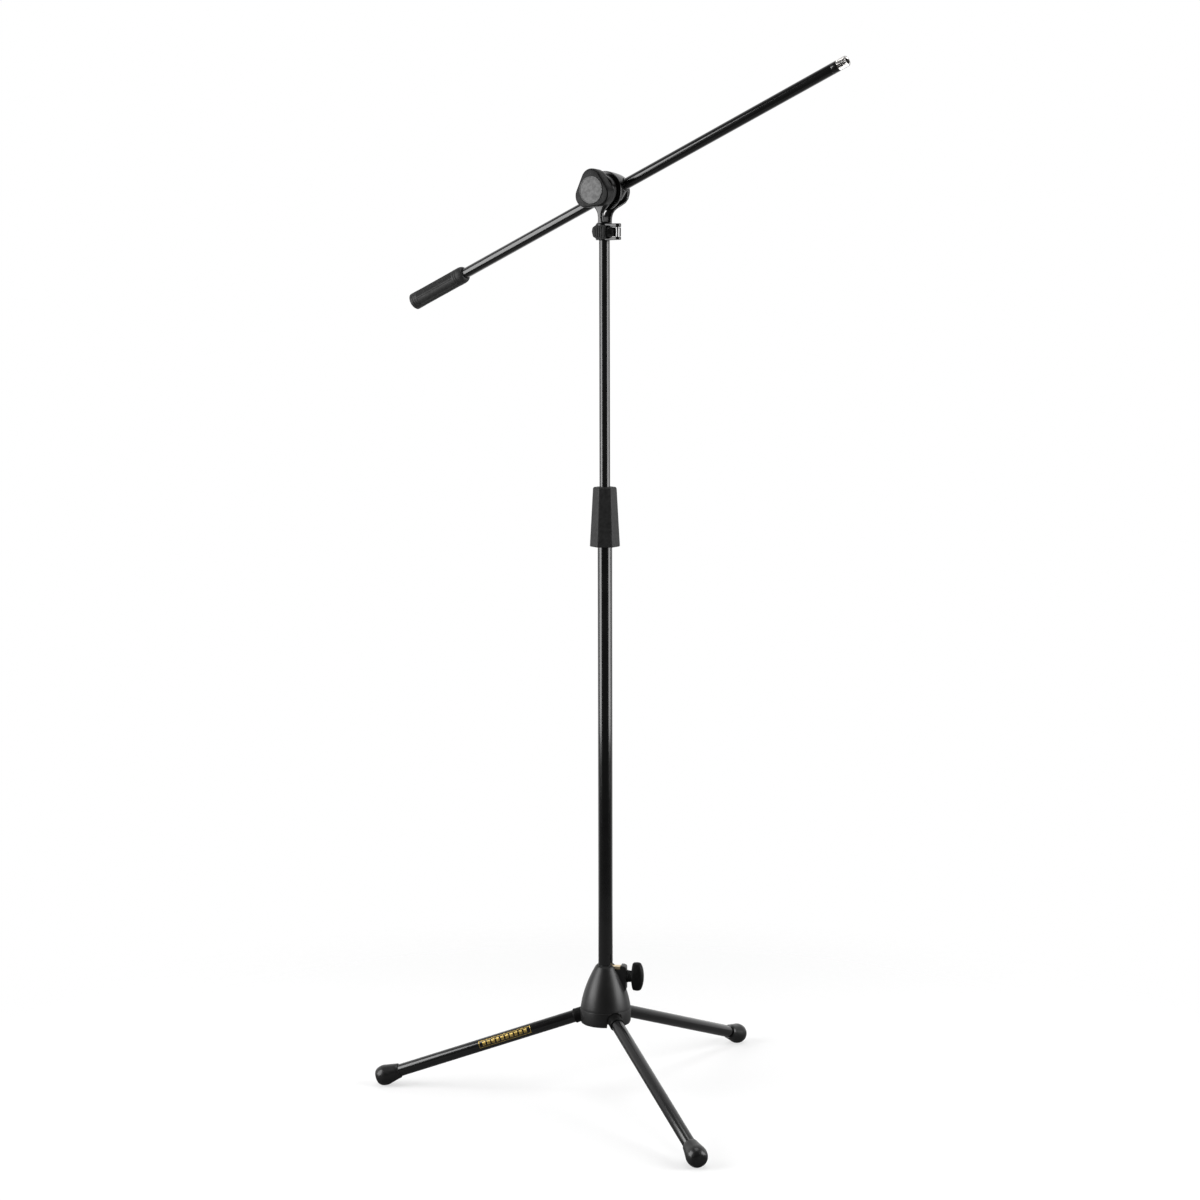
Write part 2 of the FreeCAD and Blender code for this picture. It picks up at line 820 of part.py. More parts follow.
def make_latch():
    """Quick-release lever: ribbed thumb pad, tapered arm, and a hook on the pin."""
    body = new_body("latch_lever", HEAD)
    pin_x = cell("latch_pin_x")
    pin_y = cell("latch_pin_y")
    floor = cell("latch_floor")
    roof = cell("latch_roof")
    middle = (floor + roof) / 2
    thumb = new_sketch(body, "XZ_Plane", 14.0)
    outline(thumb, [
        (-7.5, middle - 10.0),
        (13.5, middle - 10.0),
        (15.0, middle - 8.0),
        (15.0, middle + 8.0),
        (13.5, middle + 10.0),
        (-7.5, middle + 10.0),
        (-11.0, middle + 6.0),
        (-11.0, middle - 6.0),
    ])
    pad(body, thumb, 5.0)
    hook = new_sketch(body, "XY_Plane", middle - 3.0)
    inner = cell("latch_pin_radius") + gap
    outer = cell("latch_pin_radius") + 2.6
    start = math.radians(210.0)
    stop = math.radians(15.0)
    crest = math.radians(112.5)
    outline(hook, [
        (11.0, -16.0),
        (19.0, -16.0),
        (pin_x + inner * math.cos(start), pin_y + inner * math.sin(start),
         (pin_x + inner * math.cos(crest), pin_y + inner * math.sin(crest))),
        (pin_x + inner * math.cos(stop), pin_y + inner * math.sin(stop)),
        (pin_x + outer * math.cos(stop), pin_y + outer * math.sin(stop),
         (pin_x + outer * math.cos(crest), pin_y + outer * math.sin(crest))),
        (pin_x + outer * math.cos(start - 0.6), pin_y + outer * math.sin(start - 0.6)),
        (16.5, -13.4),
        (11.0, -13.4),
    ])
    pad(body, hook, 6.0)
    arm = new_sketch(body, "XZ_Plane", 13.6)
    outline(arm, [
        (8.0, middle - 6.6),
        (15.0, middle - 6.0),
        (19.0, middle - 3.0),
        (19.0, middle + 3.0),
        (15.0, middle + 6.0),
        (8.0, middle + 6.6),
    ])
    pad(body, arm, 2.3)


def pin_between(label, radius, start, stop, x, y, placement):
    """A plain round pin along Z."""
    pin = doc.addObject("Part::Cylinder", label)
    pin.Label = label
    bind(pin, "Radius", radius)
    bind(pin, "Height", stop - start)
    pin.Placement = placement * Placement(Vector(number(x), number(y), number(start)), Rotation())
    pieces.append(pin)


def washer(label, bore, radius, start, stop):
    """A flat ring on the tilt axis, from start to stop along Y."""
    body = new_body(label, HEAD)
    ring = new_sketch(body, "XZ_Plane", -stop)
    circle(ring, 0.0, cell("pivot_height"), radius)
    circle(ring, 0.0, cell("pivot_height"), bore)
    pad(body, ring, stop - start)


def make_clamp():
    """Boom clamp: friction disc, cone, drum with trunnion, a cross barrel that narrows
    towards both of its mouths, and a hood over the upper side of the barrel."""
    body = new_body("boom_clamp", TILTED)
    offset = cell("boom_offset")
    collar = cell("collar_radius")
    flat = cell("collar_flat")
    mouth = cell("collar_mouth")
    hip = cell("collar_hip")
    hip_reach = cell("collar_hip_reach")
    reach = cell("collar_reach")
    back = cell("collar_back")
    barrel = new_sketch(body, "XZ_Plane", -offset)
    outline(barrel, [
        (-reach, 0.0),
        (-reach, mouth),
        (-hip_reach, hip),
        (-flat, collar),
        (flat, collar),
        (hip_reach, hip),
        (reach, mouth),
        (reach, 0.0),
    ])
    revolve(body, barrel, "H_Axis")
    rear = new_sketch(body, "XY_Plane")
    rectangle(rear, -reach - 1.0, back, reach + 1.0, offset + collar + 1.0)
    pocket(body, rear, 2 * collar + 4.0, symmetric=True)

    disc = cell("clamp_disc")
    drum = cell("clamp_drum")
    trunnion = cell("trunnion_radius")
    shoulder = cell("rear_ear_face") - 0.5
    section = new_sketch(body, "YZ_Plane")
    outline(section, [
        (0.0, 0.0),
        (0.0, disc - 1.0),
        (1.0, disc),
        (6.0, disc, (12.0, disc - 7.6)),
        (19.0, drum),
        (shoulder, drum),
        (shoulder, trunnion),
        (shoulder + cell("trunnion_length"), trunnion),
        (shoulder + cell("trunnion_length"), 0.0),
    ])
    revolve(body, section, "H_Axis")

    start = cell("hood_start")
    rim = cell("hood_rim")
    bevel = cell("hood_bevel")
    hood = new_sketch(body, "YZ_Plane")
    outline(hood, [
        (start - 2.0, drum - 3.0),
        (back, drum - 3.0),
        (back, rim - bevel),
        (back - bevel, rim),
        (start, disc),
        (start - 2.0, disc),
    ])
    revolve(body, hood, "H_Axis", cell("hood_angle"))

    bore = new_sketch(body, "YZ_Plane")
    circle(bore, offset, 0.0, cell("liner_radius"))
    pocket(body, bore, 80.0, symmetric=True)
    stud_hole = new_sketch(body, "XZ_Plane", 1.0)
    circle(stud_hole, 0.0, 0.0, cell("stud_radius"))
    pocket(body, stud_hole, cell("stud_depth") + 1.0)


def make_tilt_stud():
    """Steel stud fixed in the clamp, on which the tilt knob turns."""
    stud = doc.addObject("Part::Cylinder", "tilt_stud")
    stud.Label = "tilt_stud"
    bind(stud, "Radius", cell("stud_radius"))
    bind(stud, "Height", cell("stud_depth") - cell("knob_face") - 6.0)
    stud.Placement = HEAD * Placement(Vector(0, CELLS["stud_depth"], CELLS["pivot_height"]),
                                      Rotation(Vector(1, 0, 0), 90))
    pieces.append(stud)


LOBE_DIRECTIONS = (95.0, 215.0, 335.0)


def on_lobe(direction, angle):
    """A point of the lobe that points in direction, at angle about the lobe's centre."""
    centre = math.radians(direction)
    edge = math.radians(angle)
    radius = cell("lobe_radius")
    offset = cell("lobe_offset")
    return (offset * math.cos(centre) + radius * math.cos(edge),
            offset * math.sin(centre) + radius * math.sin(edge) + cell("pivot_height"))


def make_tilt_knob():
    """Three-lobed knob, its threaded insert, and the round plate on its face."""
    face = cell("knob_face")
    back = cell("knob_back")
    axis = cell("pivot_height")
    body = new_body("tilt_knob", HEAD)
    lobes = new_sketch(body, "XZ_Plane", -back)
    corners = []
    for turn in LOBE_DIRECTIONS:
        corners.append((*on_lobe(turn, turn - 60.0), on_lobe(turn, turn)))
        corners.append(on_lobe(turn, turn + 60.0))
    outline(lobes, corners)
    pad(body, lobes, back - face)
    insert_hole = new_sketch(body, "XZ_Plane", -back - 1.0)
    circle(insert_hole, 0.0, axis, cell("insert_radius"))
    pocket(body, insert_hole, cell("insert_length") + 1.0, backward=True)
    washer("tilt_knob_insert", cell("stud_radius") + gap, cell("insert_radius"),
           back - cell("insert_length"), back)
    medallion = new_body("tilt_knob_medallion", HEAD)
    plate = new_sketch(medallion, "XZ_Plane", -face)
    circle(plate, 0.0, axis, cell("medallion_radius"))
    pad(medallion, plate, cell("medallion_thick"))


make_yoke()
make_latch()
pin_between("latch_pin", cell("latch_pin_radius"), cell("ring_foot"), cell("ring_top"),
            cell("latch_pin_x"), cell("latch_pin_y"), HEAD)
washer("friction_disc", cell("stud_radius") + 0.3, cell("friction_radius"),
       cell("front_ear_back"), -0.3)
washer("tilt_washer", cell("stud_radius") + 0.3, cell("washer_radius"),
       cell("front_ear_face") - cell("washer_thick"), cell("front_ear_face"))
make_clamp()
tube("clamp_liner", cell("boom_radius") + gap, cell("liner_radius"),
     -cell("collar_reach") - 1.0, cell("collar_reach") + 1.0, ALONG_BOOM, axis="H_Axis")
make_tilt_stud()
make_tilt_knob()

# ---------------------------------------------------------------- boom


def make_boom():
    tail = cell("boom_tail")
    nose = cell("boom_nose")
    radius = cell("boom_radius")
    bore = cell("boom_bore")
    tube("boom_tube", bore, radius, tail, nose, ALONG_BOOM, axis="H_Axis")
    grip = cell("grip_radius")
    start = cell("grip_start")
    end = cell("grip_end")
    turned("boom_grip", [
        (end + 1.5, 0.0),
        (end + 1.5, grip - 4.5),
        (end, grip - 4.5),
        (end, grip - 2.2),
        (end + 1.8, grip),
        (start - 4.5, grip, (start - 1.3, grip - 1.4)),
        (start, radius + 0.8),
        (start, radius),
        (tail, radius),
        (tail, 0.0),
    ], ALONG_BOOM, axis="H_Axis")
    thread = cell("thread_radius")
    hollow = cell("thread_bore")
    root = nose - cell("thread_root")
    tip = cell("thread_end")
    turned("boom_tip", [
        (root, hollow),
        (root, bore),
        (nose, bore),
        (nose, radius),
        (nose + 1.6, radius),
        (nose + 1.6, thread),
        (tip - 0.8, thread),
        (tip, thread - 0.8),
        (tip, hollow),
    ], ALONG_BOOM, axis="H_Axis")


make_boom()

# ---------------------------------------------------------------- checks and export

doc.recompute()
for item in doc.Objects:
    if "Invalid" in item.State or "Error" in item.State:
        raise RuntimeError(f"{item.Label} failed: {item.State}")
for piece in pieces:
    if piece.Shape.isNull() or not piece.Shape.isValid():
        raise RuntimeError(f"{piece.Label} has no valid shape")

os.makedirs("parts", exist_ok=True)
for piece in pieces:
    piece.Shape.exportStep(f"parts/{piece.Label}.step")
    print(piece.Label, len(piece.Shape.Solids), round(piece.Shape.Volume / 1000.0, 2))
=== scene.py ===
import json
import math

import bmesh
import bpy
from mathutils import Matrix, Vector

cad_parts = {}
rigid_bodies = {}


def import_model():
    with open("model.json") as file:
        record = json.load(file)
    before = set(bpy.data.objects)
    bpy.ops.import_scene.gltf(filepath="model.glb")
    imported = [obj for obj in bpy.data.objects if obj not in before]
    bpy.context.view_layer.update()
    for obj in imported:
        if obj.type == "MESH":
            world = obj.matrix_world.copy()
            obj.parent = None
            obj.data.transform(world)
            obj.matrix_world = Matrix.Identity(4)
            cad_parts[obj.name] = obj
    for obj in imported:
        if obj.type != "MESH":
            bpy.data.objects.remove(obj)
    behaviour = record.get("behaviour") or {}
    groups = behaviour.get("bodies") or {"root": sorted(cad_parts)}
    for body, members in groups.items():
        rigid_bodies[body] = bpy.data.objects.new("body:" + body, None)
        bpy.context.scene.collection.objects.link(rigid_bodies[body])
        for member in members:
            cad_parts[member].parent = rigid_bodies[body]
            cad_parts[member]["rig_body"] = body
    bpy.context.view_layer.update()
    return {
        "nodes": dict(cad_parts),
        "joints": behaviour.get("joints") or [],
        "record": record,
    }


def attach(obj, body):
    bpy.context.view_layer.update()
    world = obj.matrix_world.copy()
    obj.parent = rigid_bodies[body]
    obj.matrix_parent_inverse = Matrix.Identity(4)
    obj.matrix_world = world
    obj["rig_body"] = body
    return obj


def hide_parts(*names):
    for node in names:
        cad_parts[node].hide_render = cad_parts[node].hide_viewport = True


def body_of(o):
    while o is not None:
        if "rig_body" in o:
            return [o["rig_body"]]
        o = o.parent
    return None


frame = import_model()

# Lengths in the piece functions are millimetres, in the local frame that each piece
# is modelled in: MAST, HEAD, FORK, BOOM, TILT or one of LEGS. The joints give those
# frames. HEAD starts at floor level, and FORK at the tilt pivot.

MM = 0.001
UP = Vector((0, 0, 1))
LEG_SLOPE = math.radians(19.66)

joints = {joint["name"]: joint for joint in frame["joints"]}
mounts = {mount["name"]: mount for mount in frame["record"]["mounts"]}


def axis_of(joint):
    return Vector(joints[joint]["axis"]).normalized()


def place_of(joint):
    return Vector(joints[joint]["pos_m"]) / MM


def local_frame(origin, across):
    """Millimetres in a frame with local X and Y as given, to metres in the row frame."""
    x, y = across
    z = x.cross(y)
    turn = Matrix((x, y, z)).transposed().to_4x4()
    return Matrix.Scale(MM, 4) @ Matrix.Translation(origin) @ turn


PIVOT = place_of("boom_tilt").z
HEAD_Y = -axis_of("boom_tilt")
BOOM_X = axis_of("boom_slide")
THREAD_END = Vector(mounts["boom_tip_thread"]["pos_m"]) / MM
BOOM_OFFSET = (THREAD_END - place_of("boom_tilt")).dot(HEAD_Y)

MAST = Matrix.Scale(MM, 4)
HEAD = local_frame(Vector((0, 0, 0)), (HEAD_Y.cross(UP), HEAD_Y))
FORK = HEAD @ Matrix.Translation((0, 0, PIVOT))
BOOM = local_frame(place_of("boom_tilt") + HEAD_Y * BOOM_OFFSET, (BOOM_X, HEAD_Y))
TILT = local_frame(place_of("boom_tilt"), (BOOM_X, HEAD_Y))


def leg_frame(name):
    """Local X runs down the leg from the point where the leg axes meet."""
    hinge = axis_of(f"leg_{name}_fold")
    out = hinge.cross(UP)
    pivot = place_of(f"leg_{name}_fold")
    reach = Vector((pivot.x, pivot.y, 0)).length
    apex = Vector((0, 0, pivot.z + reach * math.tan(LEG_SLOPE)))
    along = out * math.cos(LEG_SLOPE) - UP * math.sin(LEG_SLOPE)
    return local_frame(apex, (along, hinge))


LEGS = {name: leg_frame(name) for name in ("left", "front", "rear")}

# ---------------------------------------------------------------- camera

LENS = 74.29
SENSOR = 36.0
CAMERA_PLACE = Vector((0.5418, -3.660, 1.202))
CAMERA_HEADING = math.radians(-8.537)
CAMERA_PITCH = math.radians(6.702)
CAMERA_ROLL = math.radians(-0.104)


def make_camera():
    level = math.cos(CAMERA_PITCH)
    ahead = Vector((math.sin(CAMERA_HEADING) * level, math.cos(CAMERA_HEADING) * level,
                    -math.sin(CAMERA_PITCH)))
    right = ahead.cross(UP).normalized()
    top = right.cross(ahead)
    rolled = right * math.cos(CAMERA_ROLL) + top * math.sin(CAMERA_ROLL)
    top = rolled.cross(ahead)
    data = bpy.data.cameras.new("camera")
    data.lens = LENS
    data.sensor_width = SENSOR
    data.clip_end = 100.0
    camera = bpy.data.objects.new("camera", data)
    turn = Matrix((rolled, top, -ahead)).transposed().to_4x4()
    camera.matrix_world = Matrix.Translation(CAMERA_PLACE) @ turn
    bpy.context.scene.collection.objects.link(camera)
    bpy.context.scene.camera = camera


make_camera()

# ---------------------------------------------------------------- studio

TO_CAMERA = Vector((CAMERA_PLACE.x, CAMERA_PLACE.y, 0)).normalized()
CAMERA_AZIMUTH = math.atan2(TO_CAMERA.y, TO_CAMERA.x)


def softbox(name, bearing, distance, low, high, width, radiance):
    """A tall soft light that faces the mast. Its bearing is degrees round the mast from
    the camera, positive towards the picture's right."""
    data = bpy.data.lights.new(name, "AREA")
    data.shape = "RECTANGLE"
    data.size = width
    data.size_y = high - low
    data.energy = radiance * math.pi * width * (high - low)
    light = bpy.data.objects.new(name, data)
    azimuth = CAMERA_AZIMUTH + math.radians(bearing)
    place = Vector((math.cos(azimuth) * distance, math.sin(azimuth) * distance, (low + high) / 2))
    facing = Vector((-math.cos(azimuth), -math.sin(azimuth), 0))
    turn = facing.to_track_quat("-Z", "Y").to_matrix().to_4x4()
    light.matrix_world = Matrix.Translation(place) @ turn
    light.visible_camera = False
    bpy.context.scene.collection.objects.link(light)


def overhead(name, height, size, radiance):
    data = bpy.data.lights.new(name, "AREA")
    data.shape = "DISK"
    data.size = size
    data.energy = radiance * math.pi * math.pi * size * size / 4
    light = bpy.data.objects.new(name, data)
    light.location = (0, 0, height)
    light.visible_camera = False
    bpy.context.scene.collection.objects.link(light)


def make_world():
    """White to the eye; to the object, a dark room behind the camera that brightens
    towards a pale backdrop behind the stand."""
    world = bpy.data.worlds.new("studio")
    bpy.context.scene.world = world
    world.use_nodes = True
    nodes, links = world.node_tree.nodes, world.node_tree.links
    nodes.clear()
    direction = nodes.new("ShaderNodeTexCoord")
    along = nodes.new("ShaderNodeVectorMath")
    along.operation = "DOT_PRODUCT"
    along.inputs[1].default_value = TO_CAMERA
    links.new(direction.outputs["Generated"], along.inputs[0])
    ramp = nodes.new("ShaderNodeMapRange")
    ramp.interpolation_type = "SMOOTHSTEP"
    ramp.inputs["From Min"].default_value = 0.15
    ramp.inputs["From Max"].default_value = -0.85
    ramp.inputs["To Min"].default_value = 0.07
    ramp.inputs["To Max"].default_value = 0.95
    links.new(along.outputs["Value"], ramp.inputs["Value"])
    room = nodes.new("ShaderNodeBackground")
    room.inputs["Color"].default_value = (1, 1, 1, 1)
    links.new(ramp.outputs["Result"], room.inputs["Strength"])
    white = nodes.new("ShaderNodeBackground")
    white.inputs["Color"].default_value = (1, 1, 1, 1)
    white.inputs["Strength"].default_value = 1.0
    seen = nodes.new("ShaderNodeLightPath")
    mix = nodes.new("ShaderNodeMixShader")
    links.new(seen.outputs["Is Camera Ray"], mix.inputs["Fac"])
    links.new(room.outputs["Background"], mix.inputs[1])
    links.new(white.outputs["Background"], mix.inputs[2])
    output = nodes.new("ShaderNodeOutputWorld")
    links.new(mix.outputs["Shader"], output.inputs["Surface"])


def make_floor():
    """A round pale floor whose rim fades into the white beyond it. It throws little light
    back up, so that the black finish above it stays deep."""
    inner, outer = 0.62, 1.15
    bm = bmesh.new()
    bmesh.ops.create_circle(bm, cap_ends=True, radius=outer, segments=96)
    mesh = bpy.data.meshes.new("floor")
    bm.to_mesh(mesh)
    bm.free()
    floor = bpy.data.objects.new("floor", mesh)
    floor.location.z = -0.0002
    bpy.context.scene.collection.objects.link(floor)
    material = bpy.data.materials.new("floor")
    material.use_nodes = True
    nodes, links = material.node_tree.nodes, material.node_tree.links
    nodes.clear()
    place = nodes.new("ShaderNodeTexCoord")
    radius = nodes.new("ShaderNodeVectorMath")
    radius.operation = "LENGTH"
    links.new(place.outputs["Object"], radius.inputs[0])
    fade = nodes.new("ShaderNodeMapRange")
    fade.interpolation_type = "SMOOTHSTEP"
    fade.inputs["From Min"].default_value = inner
    fade.inputs["From Max"].default_value = outer
    links.new(radius.outputs["Value"], fade.inputs["Value"])
    pale = nodes.new("ShaderNodeBsdfDiffuse")
    pale.inputs["Color"].default_value = (0.42, 0.42, 0.42, 1)
    lift = nodes.new("ShaderNodeEmission")
    lift.inputs["Strength"].default_value = 0.56
    shown = nodes.new("ShaderNodeAddShader")
    links.new(pale.outputs["BSDF"], shown.inputs[0])
    links.new(lift.outputs["Emission"], shown.inputs[1])
    quiet = nodes.new("ShaderNodeBsdfDiffuse")
    quiet.inputs["Color"].default_value = (0.2, 0.2, 0.2, 1)
    ray = nodes.new("ShaderNodeLightPath")
    pick = nodes.new("ShaderNodeMixShader")
    links.new(ray.outputs["Is Camera Ray"], pick.inputs["Fac"])
    links.new(quiet.outputs["BSDF"], pick.inputs[1])
    links.new(shown.outputs["Shader"], pick.inputs[2])
    clear = nodes.new("ShaderNodeBsdfTransparent")
    mix = nodes.new("ShaderNodeMixShader")
    links.new(fade.outputs["Result"], mix.inputs["Fac"])
    links.new(pick.outputs["Shader"], mix.inputs[1])
    links.new(clear.outputs["BSDF"], mix.inputs[2])
    output = nodes.new("ShaderNodeOutputMaterial")
    links.new(mix.outputs["Shader"], output.inputs["Surface"])
    floor.data.materials.append(material)


bpy.context.scene.view_settings.view_transform = "Standard"
make_world()
make_floor()
softbox("softbox_left", -76, 2.0, 0.25, 2.15, 1.35, 6.5)
softbox("softbox_right", 76, 2.0, 0.25, 2.15, 1.35, 6.0)
overhead("overhead", 3.2, 1.6, 3.0)

# ---------------------------------------------------------------- materials


class Surface:
    """A principled material whose colour, roughness and relief come from nodes."""

    def __init__(self, name, metallic=0.0, coat=0.0, coat_roughness=0.1, specular=0.5):
        self.material = bpy.data.materials.new(name)
        self.material.use_nodes = True
        self.nodes = self.material.node_tree.nodes
        self.links = self.material.node_tree.links
        self.shader = self.nodes["Principled BSDF"]
        self.shader.inputs["Metallic"].default_value = metallic
        self.shader.inputs["Coat Weight"].default_value = coat
        self.shader.inputs["Coat Roughness"].default_value = coat_roughness
        self.shader.inputs["Specular IOR Level"].default_value = specular
        self.place = self.nodes.new("ShaderNodeTexCoord")

    def noise(self, scale, detail=3.0, stretch=(1, 1, 1)):
        mapping = self.nodes.new("ShaderNodeMapping")
        mapping.inputs["Scale"].default_value = stretch
        self.links.new(self.place.outputs["Object"], mapping.inputs["Vector"])
        noise = self.nodes.new("ShaderNodeTexNoise")
        noise.inputs["Scale"].default_value = scale
        noise.inputs["Detail"].default_value = detail
        self.links.new(mapping.outputs["Vector"], noise.inputs["Vector"])
        return noise.outputs["Fac"]

    def cells(self, scale):
        voronoi = self.nodes.new("ShaderNodeTexVoronoi")
        voronoi.inputs["Scale"].default_value = scale
        self.links.new(self.place.outputs["Object"], voronoi.inputs["Vector"])
        return voronoi.outputs["Distance"]

    def colour(self, source, dark, light, low=0.35, high=0.65):
        ramp = self.nodes.new("ShaderNodeValToRGB")
        ramp.color_ramp.elements[0].position = low
        ramp.color_ramp.elements[0].color = (*dark, 1)
        ramp.color_ramp.elements[1].position = high
        ramp.color_ramp.elements[1].color = (*light, 1)
        self.links.new(source, ramp.inputs["Fac"])
        self.links.new(ramp.outputs["Color"], self.shader.inputs["Base Color"])

    def roughness(self, source, smooth, rough):
        spread = self.nodes.new("ShaderNodeMapRange")
        spread.inputs["From Min"].default_value = 0.3
        spread.inputs["From Max"].default_value = 0.7
        spread.inputs["To Min"].default_value = smooth
        spread.inputs["To Max"].default_value = rough
        self.links.new(source, spread.inputs["Value"])
        self.links.new(spread.outputs["Result"], self.shader.inputs["Roughness"])

    def relief(self, source, depth, strength=1.0):
        bump = self.nodes.new("ShaderNodeBump")
        bump.inputs["Distance"].default_value = depth
        bump.inputs["Strength"].default_value = strength
        self.links.new(source, bump.inputs["Height"])
        self.links.new(bump.outputs["Normal"], self.shader.inputs["Normal"])


def grey(value, warm=0.0):
    return (value * (1 + warm), value, value * (1 - warm))


def enamel(name, smooth, rough, shade, peel, coat=0.0):
    """Black enamel: slight orange peel, roughness that drifts, perhaps a clear top."""
    surface = Surface(name, coat=coat, coat_roughness=0.08)
    surface.colour(surface.noise(40), grey(shade * 0.75), grey(shade * 1.3))
    surface.roughness(surface.noise(25, 5), smooth, rough)
    surface.relief(surface.noise(900, 2), peel)
    return surface.material


def moulded(name, rough, shade, grain, depth, coat=0.0, specular=0.32):
    """Moulded plastic or rubber with a fine eroded grain, perhaps under a thin gloss."""
    surface = Surface(name, coat=coat, coat_roughness=0.12, specular=specular)
    surface.colour(surface.noise(220, 6), grey(shade * 0.7), grey(shade * 1.35))
    surface.roughness(surface.noise(160, 4), rough - 0.07, rough + 0.07)
    surface.relief(surface.cells(grain), depth)
    return surface.material


def metal(name, dark, light, smooth, rough, stretch, depth):
    """Bare or plated metal with fine marks drawn out along one direction."""
    surface = Surface(name, metallic=1.0)
    marks = surface.noise(500, 6, stretch)
    surface.colour(marks, dark, light)
    surface.roughness(marks, smooth, rough)
    surface.relief(surface.noise(2500, 2, stretch), depth)
    return surface.material


def blasted_metal(name):
    """Light cast alloy: cloudy tone, soft pits and a few fine scratches."""
    surface = Surface(name, metallic=0.2, specular=0.3)
    surface.colour(surface.noise(240, 9), grey(0.13), grey(0.20), 0.36, 0.62)
    surface.roughness(surface.noise(700, 4), 0.55, 0.72)
    surface.relief(surface.noise(420, 7), 0.00025)
    return surface.material


MATERIALS = {
    "tube_black": enamel("enamel_gloss", 0.15, 0.21, 0.005, 0.000004, 0.2),
    "casting_black": enamel("enamel_satin", 0.36, 0.43, 0.007, 0.00001),
    "casting_gloss": enamel("enamel_cast", 0.22, 0.29, 0.006, 0.00001),
    "plastic_black": moulded("nylon_moulded", 0.46, 0.005, 1400, 0.00006, specular=0.16),
    "grip_rubber": moulded("rubber_grip", 0.56, 0.016, 1700, 0.00005),
    "foot_rubber": moulded("rubber_foot", 0.42, 0.007, 1700, 0.00001, 0.35),
    "nylon_black": moulded("nylon_plain", 0.45, 0.012, 2000, 0.00002),
    "steel": metal("steel_plated", grey(0.22), grey(0.34), 0.3, 0.42, (1, 1, 0.1), 0.000004),
    "brass": metal("brass_turned", (0.80, 0.62, 0.36), (0.95, 0.80, 0.54), 0.30, 0.45,
                   (0.15, 1, 1), 0.00001),
    "medallion_grey": blasted_metal("alloy_blasted"),
    "nickel": metal("nickel_plated", grey(0.58, 0.03), grey(0.78, 0.02), 0.12, 0.24,
                    (1, 1, 1), 0.000003),
}
GOLD = metal("gold_print", (0.50, 0.34, 0.08), (0.78, 0.58, 0.20), 0.3, 0.45, (1, 1, 1), 0.000004)

SLOTS = {part["node"]: part["material_slot"] for part in frame["record"]["subparts"]}
for node, cad_object in frame["nodes"].items():
    cad_object.data.materials.clear()
    cad_object.data.materials.append(MATERIALS[SLOTS[node]])

# ---------------------------------------------------------------- mesh tools


def settle(obj):
    """Applies every modifier of obj to its mesh."""
    graph = bpy.context.evaluated_depsgraph_get()
    mesh = bpy.data.meshes.new_from_object(obj.evaluated_get(graph))
    obj.modifiers.clear()
    obj.data = mesh


def from_bmesh(name, bm, place=None):
    if place is not None:
        bm.transform(place)
    bmesh.ops.recalc_face_normals(bm, faces=bm.faces)
    mesh = bpy.data.meshes.new(name)
    bm.to_mesh(mesh)
    bm.free()
    obj = bpy.data.objects.new(name, mesh)
    bpy.context.scene.collection.objects.link(obj)
    return obj


def combine(base, tool, operation):
    """One exact Boolean of tool on base. The tool is used up."""
    modifier = base.modifiers.new("combine", "BOOLEAN")
    modifier.operation = operation
    modifier.solver = "EXACT"
    modifier.object = tool
    bpy.context.view_layer.update()
    settle(base)
    bpy.data.objects.remove(tool)


def soften(obj, width, segments=3, angle=32.0):
    """Rounds the edges sharper than angle. The width is in millimetres."""
    modifier = obj.modifiers.new("soften", "BEVEL")
    modifier.width = width * MM
    modifier.segments = segments
    modifier.limit_method = "ANGLE"
    modifier.angle_limit = math.radians(angle)
    modifier.use_clamp_overlap = True
    bpy.context.view_layer.update()
    settle(obj)


def shade(obj, angle=38.0):
    """Smooth shading, broken at edges sharper than angle."""
    bm = bmesh.new()
    bm.from_mesh(obj.data)
    bmesh.ops.remove_doubles(bm, verts=bm.verts, dist=1e-6)
    bmesh.ops.dissolve_degenerate(bm, edges=bm.edges, dist=1e-7)
    for face in bm.faces:
        face.smooth = True
    for edge in bm.edges:
        sharp = len(edge.link_faces) == 2 and edge.calc_face_angle(0) > math.radians(angle)
        edge.smooth = not sharp
    bm.to_mesh(obj.data)
    bm.free()


def piece(obj, node, material=None, extra=()):
    """Finishes a mesh that stands for a CAD node: shading, material, slot and body."""
    shade(obj)
    obj.data.materials.clear()
    obj.data.materials.append(material or MATERIALS[SLOTS[node]])
    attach(obj, body_of(frame["nodes"][node])[0])
    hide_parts(node, *extra)
    return obj


def arc(centre, radius, start, stop, steps=12):
    """Points from start to stop, in degrees, round centre."""
    turns = [math.radians(start + (stop - start) * i / steps) for i in range(steps + 1)]
    return [(centre[0] + radius * math.cos(a), centre[1] + radius * math.sin(a)) for a in turns]


def rounded(corners, steps=4):
    """A closed outline with an arc at each corner given as (x, y, radius)."""
    points = []
    count = len(corners)
    for i, corner in enumerate(corners):
        here = Vector(corner[:2])
        if len(corner) == 2:
            points.append(tuple(here))
            continue
        before = (Vector(corners[i - 1][:2]) - here).normalized()
        after = (Vector(corners[(i + 1) % count][:2]) - here).normalized()
        half = before.angle(after) / 2
        reach = corner[2] / math.tan(half)
        centre = here + (before + after).normalized() * corner[2] / math.sin(half)
        first = here + before * reach - centre
        last = here + after * reach - centre
        swing = first.angle_signed(last)
        for k in range(steps + 1):
            turned = Matrix.Rotation(-swing * k / steps, 2) @ first
            points.append(tuple(centre + turned))
    return points


